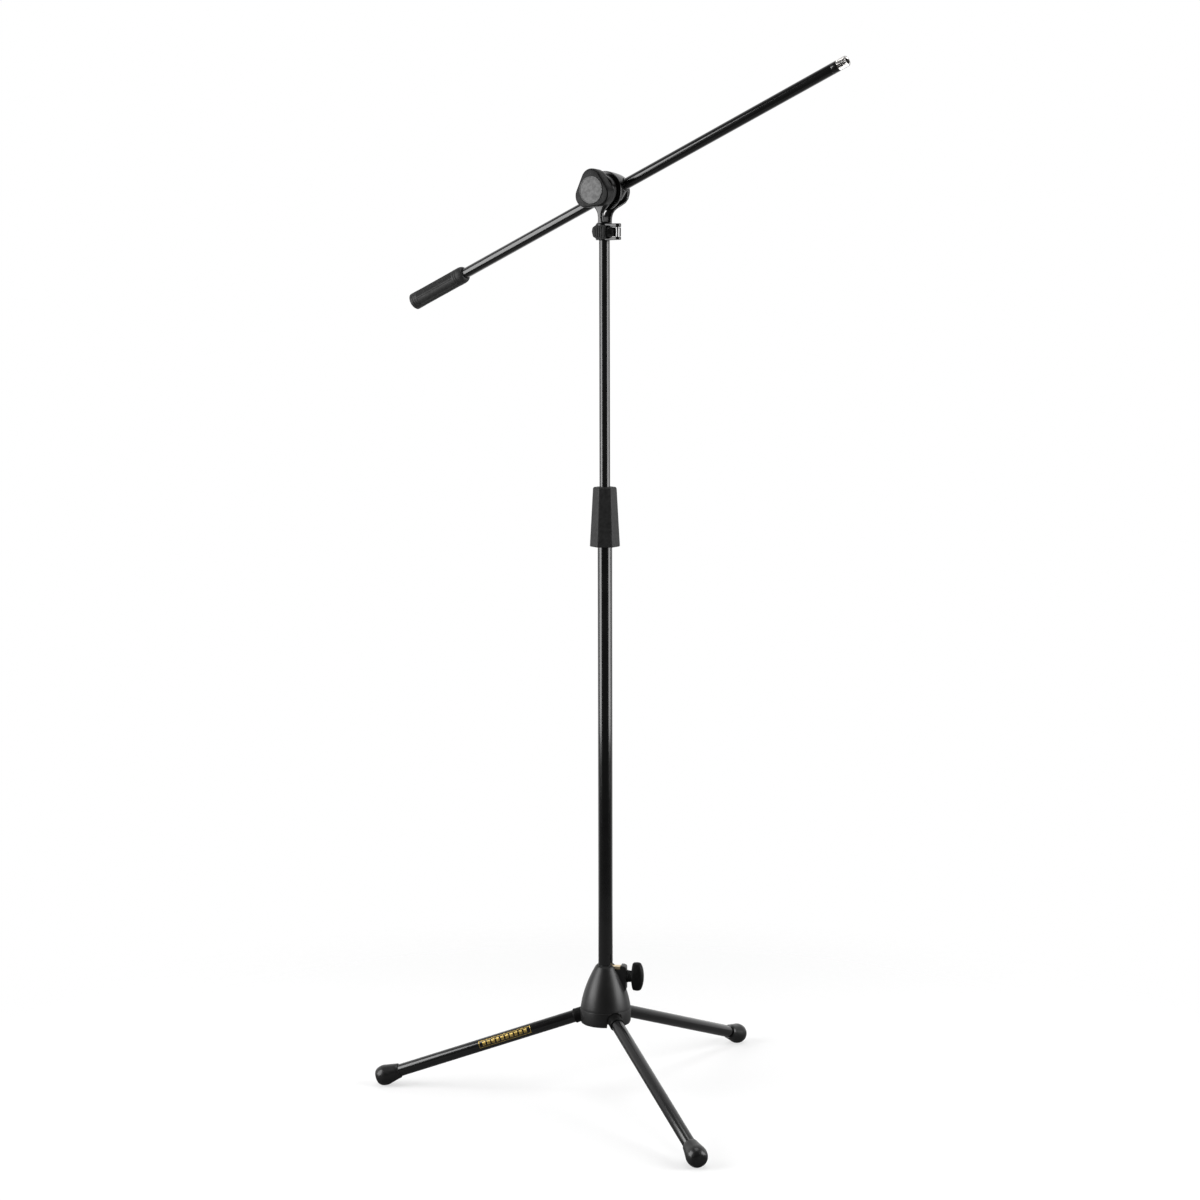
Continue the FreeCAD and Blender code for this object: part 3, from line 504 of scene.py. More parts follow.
def lathe(profile, segments=64, axis="Z"):
    """Turns a closed outline of (along, radius) points about a local axis."""
    bm = bmesh.new()
    rings = []
    for along, radius in profile:
        count = segments if radius > 1e-6 else 1
        ring = []
        for k in range(count):
            angle = 2 * math.pi * k / count
            side, rise = radius * math.cos(angle), radius * math.sin(angle)
            spot = {"X": (along, side, rise), "Y": (rise, along, side), "Z": (side, rise, along)}
            ring.append(bm.verts.new(spot[axis]))
        rings.append(ring)
    for ring, following in zip(rings, rings[1:] + rings[:1]):
        join_rings(bm, ring, following)
    return bm


def rod(low, high, radius, segments, axis="Z"):
    """A plain cylinder along a local axis."""
    return lathe([(low, 0), (low, radius), (high, radius), (high, 0)], segments, axis)


def join_rings(bm, ring, following):
    """Faces between two rings; a ring of one point closes to a cone."""
    if len(ring) == 1 and len(following) == 1:
        return
    count = max(len(ring), len(following))
    for k in range(count):
        after = (k + 1) % count
        corners = []
        if len(ring) == 1:
            corners = [ring[0], following[after], following[k]]
        elif len(following) == 1:
            corners = [ring[k], ring[after], following[0]]
        else:
            corners = [ring[k], ring[after], following[after], following[k]]
        bm.faces.new(corners)


def skin(rings):
    """A closed surface through rings of points, capped at both ends."""
    bm = bmesh.new()
    loops = [[bm.verts.new(spot) for spot in ring] for ring in rings]
    for ring, following in zip(loops, loops[1:]):
        join_rings(bm, ring, following)
    bm.faces.new(loops[0][::-1])
    bm.faces.new(loops[-1])
    return bm


def prism(outline, low, high, axis="Z"):
    """An outline of (x, y) points raised from low to high along a local axis."""
    spots = {"X": lambda u, v, w: (w, u, v), "Y": lambda u, v, w: (u, w, v),
             "Z": lambda u, v, w: (u, v, w)}
    return skin([[spots[axis](u, v, w) for u, v in outline] for w in (low, high)])


def drop_mesh(bm, other):
    """Adds the faces of other to bm, and frees other."""
    mesh = bpy.data.meshes.new("part")
    other.to_mesh(mesh)
    other.free()
    bm.from_mesh(mesh)
    bpy.data.meshes.remove(mesh)


# ---------------------------------------------------------------- tubes

TUBE_EDGE = 0.5
BOOM_TAIL = -404.0
BOOM_NOSE = 412.0


def tube_outline(bore, radius, low, high):
    return rounded([(low, bore, 0.2), (low, radius, TUBE_EDGE), (high, radius, TUBE_EDGE),
                    (high, bore, 0.2)])


def make_mast_tubes():
    for node, bore, radius, low, high in (
            ("lower_tube", 9.5, 11.0, 118.0, 893.0), ("upper_tube", 6.8, 8.0, 540.0, 1324.0)):
        outline = tube_outline(bore, radius, low, high)
        piece(from_bmesh(f"{node}_drawn", lathe(outline, 96), MAST), node)


def make_boom_tube():
    """The boom has a fine turned line just before its threaded end."""
    bore, radius = 6.8, 8.0
    line, half, depth = BOOM_NOSE - 9.5, 0.45, 0.35
    outline = rounded([
        (BOOM_TAIL, bore, 0.2), (BOOM_TAIL, radius, TUBE_EDGE),
        (line - half, radius, 0.12), (line - half, radius - depth),
        (line + half, radius - depth), (line + half, radius, 0.12),
        (BOOM_NOSE, radius, TUBE_EDGE), (BOOM_NOSE, bore, 0.2)])
    piece(from_bmesh("boom_tube_drawn", lathe(outline, 96, "X"), BOOM), "boom_tube")


def make_leg_tubes():
    for name, place in LEGS.items():
        outline = tube_outline(8.3, 9.5, 36.0, 362.5)
        piece(from_bmesh(f"leg_tube_{name}_drawn", lathe(outline, 72, "X"), place),
              f"leg_tube_{name}")


make_mast_tubes()
make_boom_tube()
make_leg_tubes()

# ---------------------------------------------------------------- legs


def make_knuckle(name, place):
    """Domed pivot end, a waist groove, and a collar with a soft rim."""
    radius, pivot, end = 11.2, 28.67, 50.9
    dome = [(pivot + along, reach) for along, reach in arc((0, 0), radius, 180, 90, 14)]
    outline = dome + rounded([
        (end - 3.4, radius, 0.3), (end - 3.2, radius - 0.5, 0.2), (end - 2.6, radius - 0.5, 0.2),
        (end - 2.4, radius, 0.3), (end, radius, 1.0), (end, 9.5, 0.3), (36.0, 9.5),
        (36.0, 0.0)], 3)
    outline[0] = (pivot - radius, 0.0)
    knuckle = from_bmesh(f"leg_root_{name}_moulded", lathe(outline, 64, "X"), place)
    pin = from_bmesh("pin_hole", rod(-15, 15, 2.56, 32, "Y"),
                     place @ Matrix.Translation((pivot, 0, 0)))
    combine(knuckle, pin, "DIFFERENCE")
    piece(knuckle, f"leg_root_{name}")


def make_foot(name, place):
    """Rubber foot: sleeve that flares straight into a round end, cut by a flat sole."""
    centre, bulb, neck, tube = 368.5, 15.8, 11.4, 9.5
    length, roundness = 14.2, 8.0
    mouth, tube_end = centre - 24.0, centre - 6.0
    lip = [(mouth, tube), (mouth, neck - 0.6), (mouth + 0.6, neck)]
    flare = [(mouth + 5.0, neck + 0.7), (mouth + 18.0, bulb - 1.1), (mouth + 21.0, bulb - 0.3)]
    ball = [(centre + length * math.sin(a), (bulb - roundness) + roundness * math.cos(a))
            for a in (math.radians(9 * i) for i in range(11))]
    outline = lip + flare + ball
    outline += [(centre + length, 0.0), (tube_end, 0.0), (tube_end, tube)]
    bm = lathe(outline, 96, "X")
    bm.transform(place)
    sole = bmesh.ops.bisect_plane(bm, geom=bm.verts[:] + bm.edges[:] + bm.faces[:], dist=1e-7,
                                  plane_co=(0, 0, 0), plane_no=(0, 0, 1), clear_inner=True)
    rim = [item for item in sole["geom_cut"] if isinstance(item, bmesh.types.BMEdge)]
    bmesh.ops.edgeloop_fill(bm, edges=rim)
    piece(from_bmesh(f"foot_{name}_moulded", bm), f"foot_{name}")


def make_leg_badge():
    """A gold printed frame with a row of plain bars, on the upper side of the left leg."""
    start, stop, low, high = 122.0, 208.0, -18.0, 52.0
    line, lift, end_gap, side_gap = 0.9, 0.06, 4.0, 16.0
    radius = 9.5 + lift

    def patch(bm, from_x, to_x, from_turn, to_turn):
        steps = max(2, round(abs(to_turn - from_turn) / 4))
        rows = []
        for x in (from_x, to_x):
            row = []
            for k in range(steps + 1):
                turn = math.radians(from_turn + (to_turn - from_turn) * k / steps)
                row.append(bm.verts.new((x, radius * math.cos(turn), radius * math.sin(turn))))
            rows.append(row)
        for k in range(steps):
            bm.faces.new([rows[0][k], rows[0][k + 1], rows[1][k + 1], rows[1][k]])

    bm = bmesh.new()
    edge = math.degrees(line / radius)
    patch(bm, start, stop, low, low + edge)
    patch(bm, start, stop, high - edge, high)
    patch(bm, start, start + line, low + edge, high - edge)
    patch(bm, stop - line, stop, low + edge, high - edge)
    bar, pitch = 5.2, 7.6
    count = int((stop - start - 2 * end_gap) / pitch)
    margin = (stop - start - (count - 1) * pitch - bar) / 2
    for k in range(count):
        left = start + margin + k * pitch
        patch(bm, left, left + bar, low + side_gap, high - side_gap)
    badge = from_bmesh("leg_badge", bm, LEGS["left"])
    thick = badge.modifiers.new("thick", "SOLIDIFY")
    thick.thickness = 0.04 * MM
    thick.offset = -1
    bpy.context.view_layer.update()
    settle(badge)
    shade(badge)
    badge.data.materials.append(GOLD)
    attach(badge, "leg_left")


for leg, leg_place in LEGS.items():
    make_knuckle(leg, leg_place)
    make_foot(leg, leg_place)
make_leg_badge()

# ---------------------------------------------------------------- hub

CLAMP_SCREW = 188.5


def make_hub():
    """Bell casting with a soft edge line above its skirt, three leg slots, lugs, and the
    open channel for the clamping pad."""
    base, edge, top, wide, bore = 116.0, 139.0, 204.6, 39.0, 12.5
    inset, crest, swell, steps = 0.7, 15.5, 3.55, 24
    flare = []
    for k in range(steps + 1):
        t = k / steps
        height = edge + 0.6 + (top - 1.2 - edge - 0.6) * t
        bulge = 4 * t * (1 - t) * swell
        flare.append((height, (wide - inset) + (crest - wide + inset) * t + bulge))
    outline = rounded([
        (base + 2.4, bore), (base + 2.4, bore + 2.7), (base + 60.0, bore + 2.7),
        (base + 60.0, bore + 10.4), (base + 42.0, wide - 21.0), (edge - 1.0, wide - 4.2),
        (base + 2.5, wide - 4.2, 0.5), (base, wide - 2.8, 0.8), (base, wide - 1.6, 1.0),
        (base + 3.0, wide - 0.5, 2.0), (edge - 0.6, wide, 0.5)])
    outline += flare + rounded([(top - 1.0, 15.3), (top, 14.4, 0.4), (top, bore)])
    hub = from_bmesh("hub_casting", lathe(outline, 144), MAST)
    lug_start, lug_end, lug_face, lug_back = 17.0, 33.5, 12.1, 15.9
    slot_half, slot_foot = 11.9, -40.0
    for place in LEGS.values():
        for side in (-1, 1):
            near, far = sorted((side * lug_face, side * lug_back))
            lug = prism([(lug_start, near), (lug_end, near), (lug_end, far), (lug_start, far)],
                        base + 3.5, base + 30.0)
            combine(hub, from_bmesh("lug", lug, upright(place)), "UNION")
        arch = [(-slot_half, slot_foot), (slot_half, slot_foot)]
        arch += arc((0, 0), slot_half, 0, 180, 24)
        slot = prism(arch, 31.0, 75.0, "X")
        combine(hub, from_bmesh("slot", slot, place), "DIFFERENCE")
    reach, half, slit = 32.4, 8.5, 5.5
    wall = reach - 8.4
    boss = rounded([
        (bore + 1.0, edge + 39.0), (reach - 5.5, edge + 22.0), (reach, edge + 30.0, 2.0),
        (reach, top - 0.6, 3.4), (reach - 4.4, top + 1.2, 2.5), (wall, top + 1.2, 0.8),
        (wall, top - 5.0), (bore + 1.0, top - 5.0)], 6)
    combine(hub, from_bmesh("boss", prism(boss, -half, half, "Y"), MAST), "UNION")
    channel = prism([(bore - 4.0, -slit), (wall, -slit), (wall, slit), (bore - 4.0, slit)],
                    top - 21.0, top + 4.0)
    combine(hub, from_bmesh("channel", channel, MAST), "DIFFERENCE")
    tapped = rod(20, 36, 4.06, 32, "X")
    place = MAST @ Matrix.Translation((0, 0, CLAMP_SCREW))
    combine(hub, from_bmesh("tapped", tapped, place), "DIFFERENCE")
    soften(hub, 0.5, 2)
    piece(hub, "base_hub")


def upright(place):
    """A frame with a leg's heading but level, and its origin at floor level."""
    along = place.to_3x3() @ Vector((1, 0, 0))
    heading = Vector((along.x, along.y, 0)).normalized()
    return local_frame(Vector((0, 0, 0)), (heading, UP.cross(heading)))


def make_base_knob():
    """Two-winged knob: domed outer face, rounded wings, round neck, flush screw boss."""
    start, tip, half, around = 41.0, 8.5, 22.25, 40
    stations = [(-0.9, 0.42, 0.70), (-0.2, 0.62, 0.86), (0.5, 0.86, 0.95), (1.6, 0.955, 1.0),
                (4.0, 0.985, 1.03), (8.0, 1.0, 1.05), (11.0, 0.985, 1.03), (13.0, 0.94, 0.98),
                (14.4, 0.86, 0.92), (15.8, 0.72, 0.84), (16.9, 0.52, 0.70), (17.6, 0.30, 0.50),
                (17.95, 0.10, 0.20)]
    rings = []
    for x, tall, broad in stations:
        ring = []
        for k in range(around):
            angle = 2 * math.pi * k / around
            up = math.copysign(abs(math.sin(angle)) ** 0.62, math.sin(angle)) * half * tall
            waist = 1.0 + 0.22 * (1 - abs(up) / half)
            side = math.copysign(abs(math.cos(angle)) ** 0.75, math.cos(angle)) * tip * broad * waist
            ring.append((start + x, side, up))
        rings.append(ring)
    place = MAST @ Matrix.Translation((0, 0, CLAMP_SCREW))
    knob = from_bmesh("base_knob_moulded", skin(rings), place)
    neck = lathe(rounded([(32.8, 4.0, 0.2), (32.8, 9.5, 0.7), (35.2, 9.5, 0.3), (35.6, 8.9, 0.3),
                          (42.5, 8.9), (42.5, 4.0)], 3), 48, "X")
    combine(knob, from_bmesh("neck", neck, place), "UNION")
    round_over = knob.modifiers.new("round", "SUBSURF")
    round_over.levels = 1
    bpy.context.view_layer.update()
    settle(knob)
    piece(knob, "base_knob")


make_hub()
make_base_knob()

# ---------------------------------------------------------------- clutch


def faceted(turn, faces, flat, softness):
    """Radius of a soft-edged polygon whose flats are flat away from the axis."""
    total = 0.0
    for k in range(faces):
        facing = math.cos(turn - 2 * math.pi * k / faces)
        if facing > 0:
            total += (facing / flat) ** softness
    return total ** (-1 / softness)


def make_clutch():
    """Tapered grip with six broad flats and soft ridges, one flat facing the front."""
    foot, crown, wide, narrow = 848.0, 937.6, 22.6, 17.65
    softness, faces, around = 26, 6, 144
    flat_share = math.cos(math.pi / faces) * 2 ** (1 / softness)
    stations = [(foot, 0.925), (foot + 0.25, 0.965), (foot + 0.8, 0.99), (foot + 1.8, 1.0)]
    stations += [(foot + 1.8 + (crown - foot - 4.6) * k / 16, 1.0) for k in range(1, 17)]
    stations += [(crown - 1.6, 0.985), (crown - 0.7, 0.955), (crown, 0.90)]
    outer = []
    for height, share in stations:
        taper = wide + (narrow - wide) * (height - foot) / (crown - foot)
        ring = []
        for k in range(around):
            turn = 2 * math.pi * k / around
            reach = share * faceted(turn, faces, taper * flat_share, softness)
            azimuth = turn + CAMERA_AZIMUTH
            ring.append((reach * math.cos(azimuth), reach * math.sin(azimuth), height))
        outer.append(ring)
    inner = []
    for height, radius in ((crown, 9.4), (crown - 0.6, 8.5), (931.0, 8.4), (930.4, 11.9),
                           (908.2, 13.6), (905.2, 15.06), (foot + 0.5, 15.06), (foot, 15.6)):
        inner.append([(radius * math.cos(2 * math.pi * k / around + CAMERA_AZIMUTH),
                       radius * math.sin(2 * math.pi * k / around + CAMERA_AZIMUTH), height)
                      for k in range(around)])
    bm = bmesh.new()
    loops = [[bm.verts.new(spot) for spot in ring] for ring in outer + inner]
    for ring, following in zip(loops, loops[1:] + loops[:1]):
        join_rings(bm, ring, following)
    piece(from_bmesh("clutch_grip_moulded", bm, MAST), "clutch_grip")


make_clutch()

# ---------------------------------------------------------------- head casting

LATCH_PIN = (27.5, -6.0)
KNOB_FACE = -35.0


def sweep(stations, sides=28, power=3.2):
    """A limb through (y, z, half width, half thickness, lean) stations, in the head's YZ
    plane. Its section is a soft-cornered rectangle, thick across the direction of travel."""
    rings = []
    for y, z, width, thick, lean in stations:
        normal = Vector((0, math.cos(math.radians(lean)), math.sin(math.radians(lean))))
        ring = []
        for k in range(sides):
            angle = 2 * math.pi * k / sides
            cosine, sine = math.cos(angle), math.sin(angle)
            side = math.copysign(abs(cosine) ** (2 / power), cosine) * width
            out = math.copysign(abs(sine) ** (2 / power), sine) * thick
            ring.append(tuple(Vector((side, y, z)) + normal * out))
        rings.append(ring)
    return skin(rings)


def make_yoke():
    """The forked casting, run together from its ring, latch ears, neck, ribs and ears."""
    low, high, floor, roof = 1303.0, 1327.0, 1307.5, 1321.5
    pin_x, pin_y = LATCH_PIN
    bm = lathe([(low, 0), (low, 12.2), (low + 0.8, 13.0), (floor, 13.0), (floor, 11.4),
                (roof, 11.4), (roof, 13.0), (high - 1, 13.0), (high, 12.2),
                (high + 1.6, 10.8), (high + 2.4, 9.0), (high + 2.4, 0)], 72)
    for start, stop in ((low, floor), (roof, high)):
        ear = [(6.0, -10.0), (12.0, pin_y - 5.2)]
        ear += arc((pin_x, pin_y), 5.2, -90, 90, 16)
        ear += [(15.0, 5.0), (9.2, 9.0), (4.0, 10.0)]
        drop_mesh(bm, prism(ear, start, stop))
    front = [(-7.0, high - 2.0, 6.6, 4.4, 0), (-8.4, high + 3.0, 4.7, 3.7, -3),
             (-9.6, high + 9.0, 4.0, 3.3, -3), (-9.8, high + 15.0, 4.7, 3.4, 2),
             (-9.1, high + 20.0, 7.4, 4.2, 3), (-8.7, high + 24.5, 11.6, 5.0, 0),
             (-8.5, high + 30.0, 16.5, 5.4, 0), (-8.5, high + 36.0, 18.5, 5.4, 0)]
    drop_mesh(bm, sweep(front))
    rear = [(6.4, high - 3.0, 8.0, 4.0, 0), (7.4, high + 4.0, 7.7, 3.4, -6),
            (8.8, high + 10.0, 7.4, 3.2, -20), (12.6, high + 16.0, 6.8, 2.8, -42),
            (18.6, high + 20.8, 6.4, 2.5, -56), (26.0, high + 24.8, 7.0, 2.3, -62),
            (33.4, high + 28.4, 9.0, 2.4, -60), (38.8, high + 32.8, 12.4, 3.2, -44),
            (41.0, high + 38.4, 15.4, 4.0, -14), (41.0, high + 45.0, 16.2, 4.4, 0)]
    drop_mesh(bm, sweep(rear))
    ears = (
        [(-14.0, 0), (-14.0, 22.6), (-13.4, 24.0), (-12.4, 24.5), (-4.4, 24.5), (-3.0, 24.0),
         (-3.0, 0)],
        [(36.5, 0), (36.5, 16.2), (37.4, 17.2), (42.6, 17.2), (44.6, 16.1), (45.5, 13.6),
         (45.5, 0)])
    for outline in ears:
        disc = lathe(outline, 96, "Y")
        disc.transform(Matrix.Translation((0, 0, PIVOT)))
        drop_mesh(bm, disc)
    yoke = from_bmesh("yoke_casting", bm, HEAD)
    fuse = yoke.modifiers.new("fuse", "REMESH")
    fuse.mode = "VOXEL"
    fuse.voxel_size = 0.5 * MM
    relax = yoke.modifiers.new("relax", "SMOOTH")
    relax.factor = 0.5
    relax.iterations = 14
    bpy.context.view_layer.update()
    settle(yoke)
    bores = (
        (rod(1290, 1324.4, 8.06, 64), HEAD),
        (rod(-16, -1, 4.06, 40, "Y"), FORK),
        (rod(34, 50, 6.06, 48, "Y"), FORK),
        (prism([(-1, -20), (1, -20), (1, -4), (-1, -4)], 1290.0, roof), HEAD),
        (rod(1290, 1340, 3.0, 32),
         HEAD @ Matrix.Translation((pin_x, pin_y, 0))))
    for bore, place in bores:
        combine(yoke, from_bmesh("bore", bore, place), "DIFFERENCE")
    piece(yoke, "yoke")


def make_latch():
    """Quick-release lever: a rounded thumb pad with shallow ribs, and a tapered arm that
    ends in a hook behind the pin."""
    middle, front, back, hook_half = 1314.5, -17.9, -14.0, 6.4
    place = HEAD @ Matrix.Translation((0, 0, middle))
    pad = rounded([(-9.4, 6.6, 3.4), (-4.4, 10.0, 3.4), (12.2, 10.0, 1.2), (13.6, 8.4, 1.0),
                   (13.6, -8.4, 1.0), (12.2, -10.0, 1.2), (-2.4, -10.0, 3.4),
                   (-8.4, -6.4, 3.4), (-10.4, 0.6, 4.0)], 6)
    lever = from_bmesh("latch_lever_moulded", prism(pad, front, back, "Y"), place)
    for k, tall in enumerate((6.0, 7.6, 7.9, 7.9, 7.9)):
        left = -6.6 + 3.9 * k
        rib = prism(rounded([(left, -tall, 0.9), (left + 2.5, -tall, 0.9),
                             (left + 2.5, tall, 0.9), (left, tall, 0.9)], 3),
                    front - 0.5, front + 0.9, "Y")
        combine(lever, from_bmesh("rib", rib, place), "UNION")
    inner, outer = 3.06, 5.6
    hook = [(11.0, -15.2), (18.6, -15.2)]
    hook += arc(LATCH_PIN, inner, 210, 64, 20)
    hook += arc(LATCH_PIN, outer, 64, 175.6, 20)
    hook += [(16.5, -12.8), (11.0, -12.8)]
    combine(lever, from_bmesh("hook", prism(hook, -hook_half, hook_half), place), "UNION")
    ends = ((15.2, -17.4, 4.6), (22.0, -13.2, 1.9))
    wedge = skin([[(x, y, -z), (x, y, z), (x - 1.0, y + 3.4, z + 0.7), (x - 1.0, y + 3.4, -z - 0.7)]
                  for x, y, z in ends])
    combine(lever, from_bmesh("wedge", wedge, place), "UNION")
    soften(lever, 0.4, 2)
    piece(lever, "latch_lever")


def make_clamp():
    """Clamp casting: rimmed disc, waisted cone, drum and trunnion, the boom's barrel, and
    a hood over its upper half."""
    disc, drum, trunnion, shoulder = 29.0, 15.5, 6.0, 36.0
    cone = [(6.0 + 13.0 * t, drum + (disc - 1.6 - drum) * (1 - t) ** 1.7)
            for t in (i / 12 for i in range(13))]
    outline = rounded([(0.0, 0.0), (0.0, disc, 0.9), (4.6, disc, 1.6)]) + cone[:-1]
    outline += rounded([(19.0, drum, 1.0), (shoulder, drum, 1.2), (shoulder, trunnion),
                        (shoulder + 8.0, trunnion, 0.6), (shoulder + 8.0, 0.0)])
    clamp = from_bmesh("boom_clamp_casting", lathe(outline, 120, "Y"), TILT)
    reach, back, middle, mouth = 22.0, 34.8, 17.8, 10.0
    swell = [(4.0 + 1.5 * k, mouth + (middle - mouth) * (0.5 + 0.5 * math.cos(math.pi * k / 12)))
             for k in range(12)]
    side = swell + [(reach - 0.3, mouth), (reach, mouth - 0.3), (reach, 0.0)]
    barrel = [(-u, r) for u, r in reversed(side)] + side
    barrel = from_bmesh("barrel", lathe(barrel, 96, "X"), BOOM)
    slab = prism([(-30, back), (30, back), (30, 60), (-30, 60)], -40, 40)
    combine(barrel, from_bmesh("slab", slab, TILT), "DIFFERENCE")
    combine(clamp, barrel, "UNION")
    crown = [(4.0, 12.5), (4.0, disc - 0.4), (5.2, disc - 0.4), (12.0, 28.2), (20.0, 27.3),
             (28.0, 26.1), (back - 1.6, 24.9), (back - 0.5, 24.3), (back, 23.3), (back, 12.5)]
    hood = from_bmesh("hood", lathe(crown, 120, "Y"), TILT)
    below = prism([(-60, 0), (60, 0), (60, -60), (-60, -60)], 0, 40, "Y")
    combine(hood, from_bmesh("below", below, TILT), "DIFFERENCE")
    combine(clamp, hood, "UNION")
    bore = rod(-45, 45, 9.5, 72, "X")
    combine(clamp, from_bmesh("bore", bore, BOOM), "DIFFERENCE")
    stud = rod(-1, 8, 4.0, 32, "Y")
    combine(clamp, from_bmesh("stud", stud, TILT), "DIFFERENCE")
    soften(clamp, 0.7, 3, 40.0)
    piece(clamp, "boom_clamp")


def lobed(inset):
    """The three-lobed outline, drawn in by inset."""
    radius, offset = 17.4 - inset, 13.9
    points = []
    for turn in (95.0, 215.0, 335.0):
        centre = (offset * math.cos(math.radians(turn)), offset * math.sin(math.radians(turn)))
        points += arc(centre, radius, turn - 60, turn + 60, 18)
    return points


def make_tilt_knob():
    """Three soft lobes with a rounded front edge, a shallow draft and a hub at the back."""
    back, face = -15.7, KNOB_FACE
    stations = [(face, 2.6), (face + 0.15, 1.7), (face + 0.6, 0.9), (face + 1.3, 0.35),
                (face + 2.4, 0.05), (face + 6.0, 0.0), (face + 11.0, 0.25), (face + 15.0, 0.55),
                (back - 1.2, 0.75), (back - 0.4, 1.1), (back, 1.8)]
    rings = [[(x, y, z) for x, z in lobed(inset)] for y, inset in stations]
    knob = from_bmesh("tilt_knob_moulded", skin(rings), FORK)
    recess = rod(face - 1, face + 0.5, 20.5, 96, "Y")
    combine(knob, from_bmesh("recess", recess, FORK), "DIFFERENCE")
    insert = rod(back - 15, back + 1, 7.0, 48, "Y")
    combine(knob, from_bmesh("insert", insert, FORK), "DIFFERENCE")
    piece(knob, "tilt_knob")


def make_medallion():
    """Round plate with a rolled rim, a fine ring and a faintly dished middle."""
    face, radius = KNOB_FACE, 20.2
    outline = [(face + 0.5, 0.0), (face + 0.5, radius - 0.2)]
    outline += rounded([(face - 0.2, radius, 0.3), (face - 1.0, radius - 0.5, 0.4),
                        (face - 1.0, radius - 1.5, 0.3), (face - 0.72, radius - 1.9, 0.3)], 3)
    dish = [(face - 0.72 - 0.14 * (1 - (r / 18.0) ** 2), r) for r in (17.8, 15, 12, 9, 6, 3, 0)]
    piece(from_bmesh("medallion_plate", lathe(outline + dish, 96, "Y"), FORK),
          "tilt_knob_medallion")


make_yoke()
make_latch()
make_clamp()
make_tilt_knob()
make_medallion()

# ---------------------------------------------------------------- boom ends


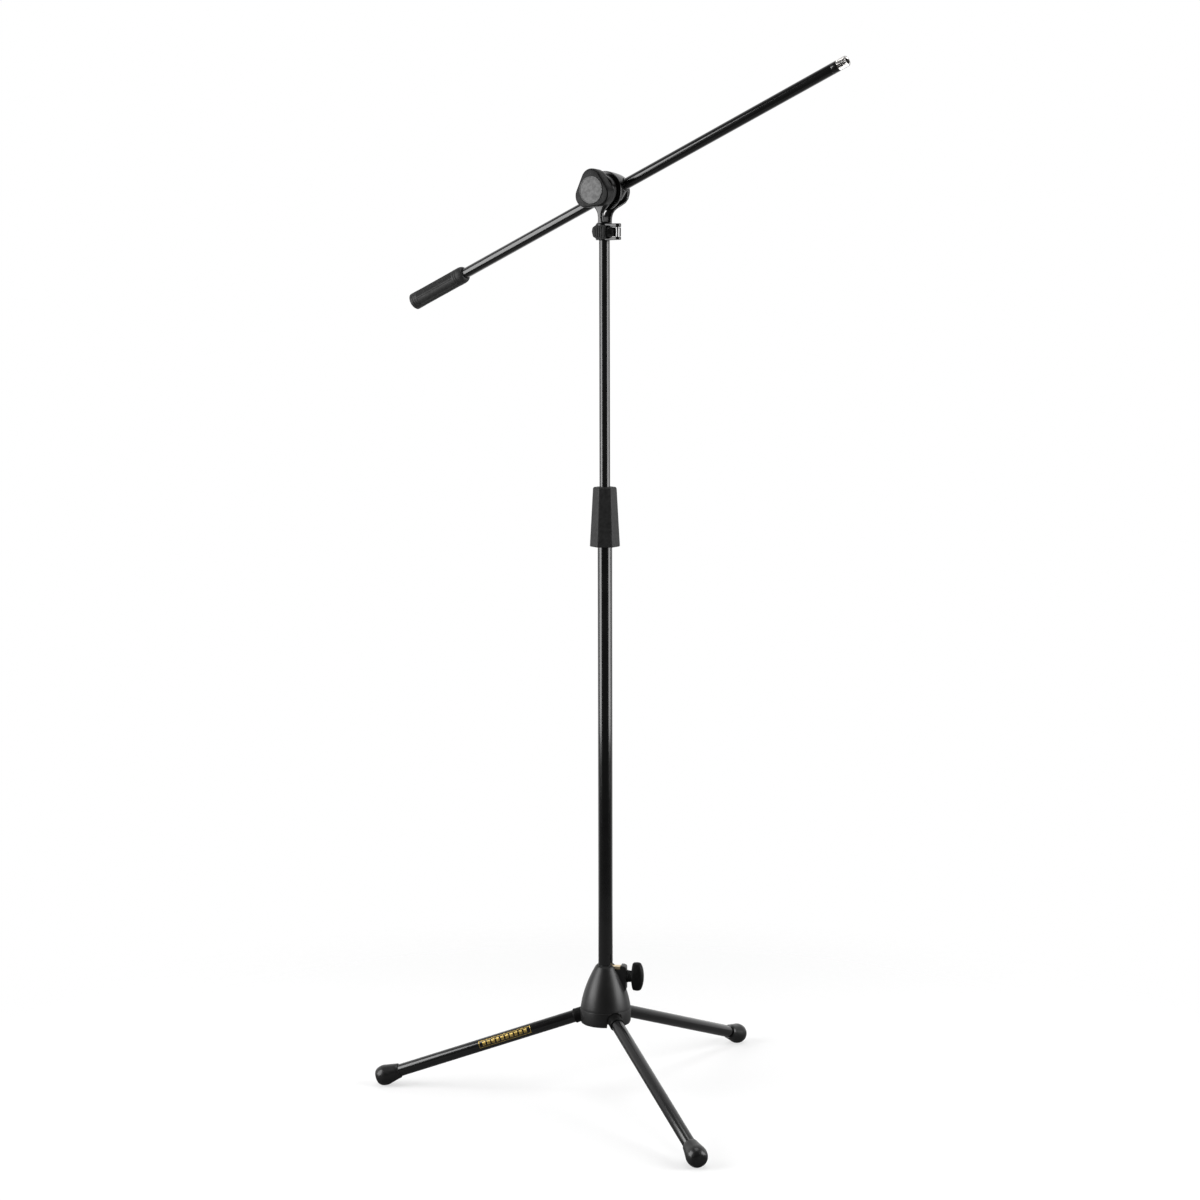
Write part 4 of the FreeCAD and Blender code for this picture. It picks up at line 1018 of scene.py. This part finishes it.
def make_grip():
    """Rubber grip: domed shoulder, ring grooves at both ends, and six long panels with
    narrow ribs between them, every other one finely ribbed across."""
    end, start, full = -409.0, -299.0, 13.25
    panel_low, panel_high, panels = -393.5, -318.5, 6
    grooves = (-401.5, -397.6, -314.6, -310.8)
    around = 144

    def envelope(x):
        from_end = x - end
        to_start = start - x
        if from_end < 1.6:
            return full - 1.9 * (1 - from_end / 1.6) ** 1.5 - 0.1
        if to_start < 9.0:
            return 9.0 + (full - 9.0) * math.sqrt(max(0.0, 1 - (1 - to_start / 9.0) ** 2))
        return full

    def step(value, low, high):
        t = min(1.0, max(0.0, (value - low) / (high - low)))
        return t * t * (3 - 2 * t)

    def radius(x, turn):
        reach = envelope(x)
        for groove in grooves:
            reach -= 0.55 * (1 - step(abs(x - groove), 0.35, 0.8))
        share = turn * panels / (2 * math.pi)
        across = abs(share - math.floor(share) - 0.5) * 2
        inside = (1 - step(across, 0.80, 0.90)) * step(x, panel_low - 0.5, panel_low + 0.5)
        inside *= 1 - step(x, panel_high - 0.5, panel_high + 0.5)
        reach -= 0.55 * inside
        if int(math.floor(share)) % 2 == 0:
            reach += 0.22 * inside * math.cos(2 * math.pi * x / 1.5)
        return reach

    stations = [end, end + 0.2, end + 0.6, end + 1.1, end + 1.6]
    x = end + 2.0
    while x < start - 0.6:
        stations.append(x)
        x += 0.375
    stations += [start - 0.5, start - 0.25, start - 0.08]
    bm = bmesh.new()
    loops = []
    for x in stations:
        ring = []
        for k in range(around):
            turn = 2 * math.pi * k / around
            reach = radius(x, turn)
            ring.append(bm.verts.new((x, reach * math.cos(turn), reach * math.sin(turn))))
        loops.append(ring)
    for x, reach in ((start, 8.3), (start - 0.8, 8.02), (BOOM_TAIL, 8.02), (BOOM_TAIL, 0.0),
                     (end + 1.4, 0.0), (end + 1.4, 8.4), (end + 0.6, 8.8)):
        count = around if reach > 0 else 1
        loops.append([bm.verts.new((x, reach * math.cos(2 * math.pi * k / count),
                                    reach * math.sin(2 * math.pi * k / count) if count > 1 else 0))
                      for k in range(count)])
    for ring, following in zip(loops, loops[1:] + loops[:1]):
        join_rings(bm, ring, following)
    piece(from_bmesh("boom_grip_moulded", bm, BOOM), "boom_grip")


def make_tip():
    """Threaded end: shoulder, a real helical thread at 27 to the inch, and a deep bore."""
    major, bore, plug = 7.84, 4.5, 6.8
    pitch, depth = 25.4 / 27, 0.50
    around, per_turn = 96, 12
    first, last = BOOM_NOSE + 1.6, BOOM_NOSE + 15.0
    rows = int((last - first) / pitch * per_turn)
    loops = []
    bm = bmesh.new()

    def ring(x, radius_at):
        spots = []
        for k in range(around):
            turn = 2 * math.pi * k / around
            reach = radius_at(x, turn)
            spots.append(bm.verts.new((x, reach * math.cos(turn), reach * math.sin(turn))))
        return spots

    def thread(x, turn):
        phase = (x / pitch - turn / (2 * math.pi)) % 1.0
        cut = depth * min(1.0, max(0.0, 1.25 - abs(phase - 0.5) * 2.6))
        run_in = min(1.0, max(0.0, (x - first) / 0.8))
        chamfer = max(0.0, 0.7 - (last - x))
        return major - cut * run_in - chamfer

    for x, reach in ((BOOM_NOSE - 24.0, bore), (BOOM_NOSE - 24.0, plug), (BOOM_NOSE, plug),
                     (BOOM_NOSE, 7.7), (BOOM_NOSE + 0.3, 8.0), (BOOM_NOSE + 1.3, 8.0),
                     (first, 7.7)):
        loops.append(ring(x, lambda _x, _turn, fixed=reach: fixed))
    for k in range(rows + 1):
        loops.append(ring(first + (last - first) * k / rows + (0.001 if k == 0 else 0), thread))
    for x, reach in ((last, 5.3), (last - 0.7, bore)):
        loops.append(ring(x, lambda _x, _turn, fixed=reach: fixed))
    for loop, following in zip(loops, loops[1:] + loops[:1]):
        join_rings(bm, loop, following)
    piece(from_bmesh("boom_tip_threaded", bm, BOOM), "boom_tip")


make_grip()
make_tip()

# ---------------------------------------------------------------- carried-over CAD nodes

for node, cad_object in frame["nodes"].items():
    cad_object.data.polygons.foreach_set("use_smooth", [True] * len(cad_object.data.polygons))
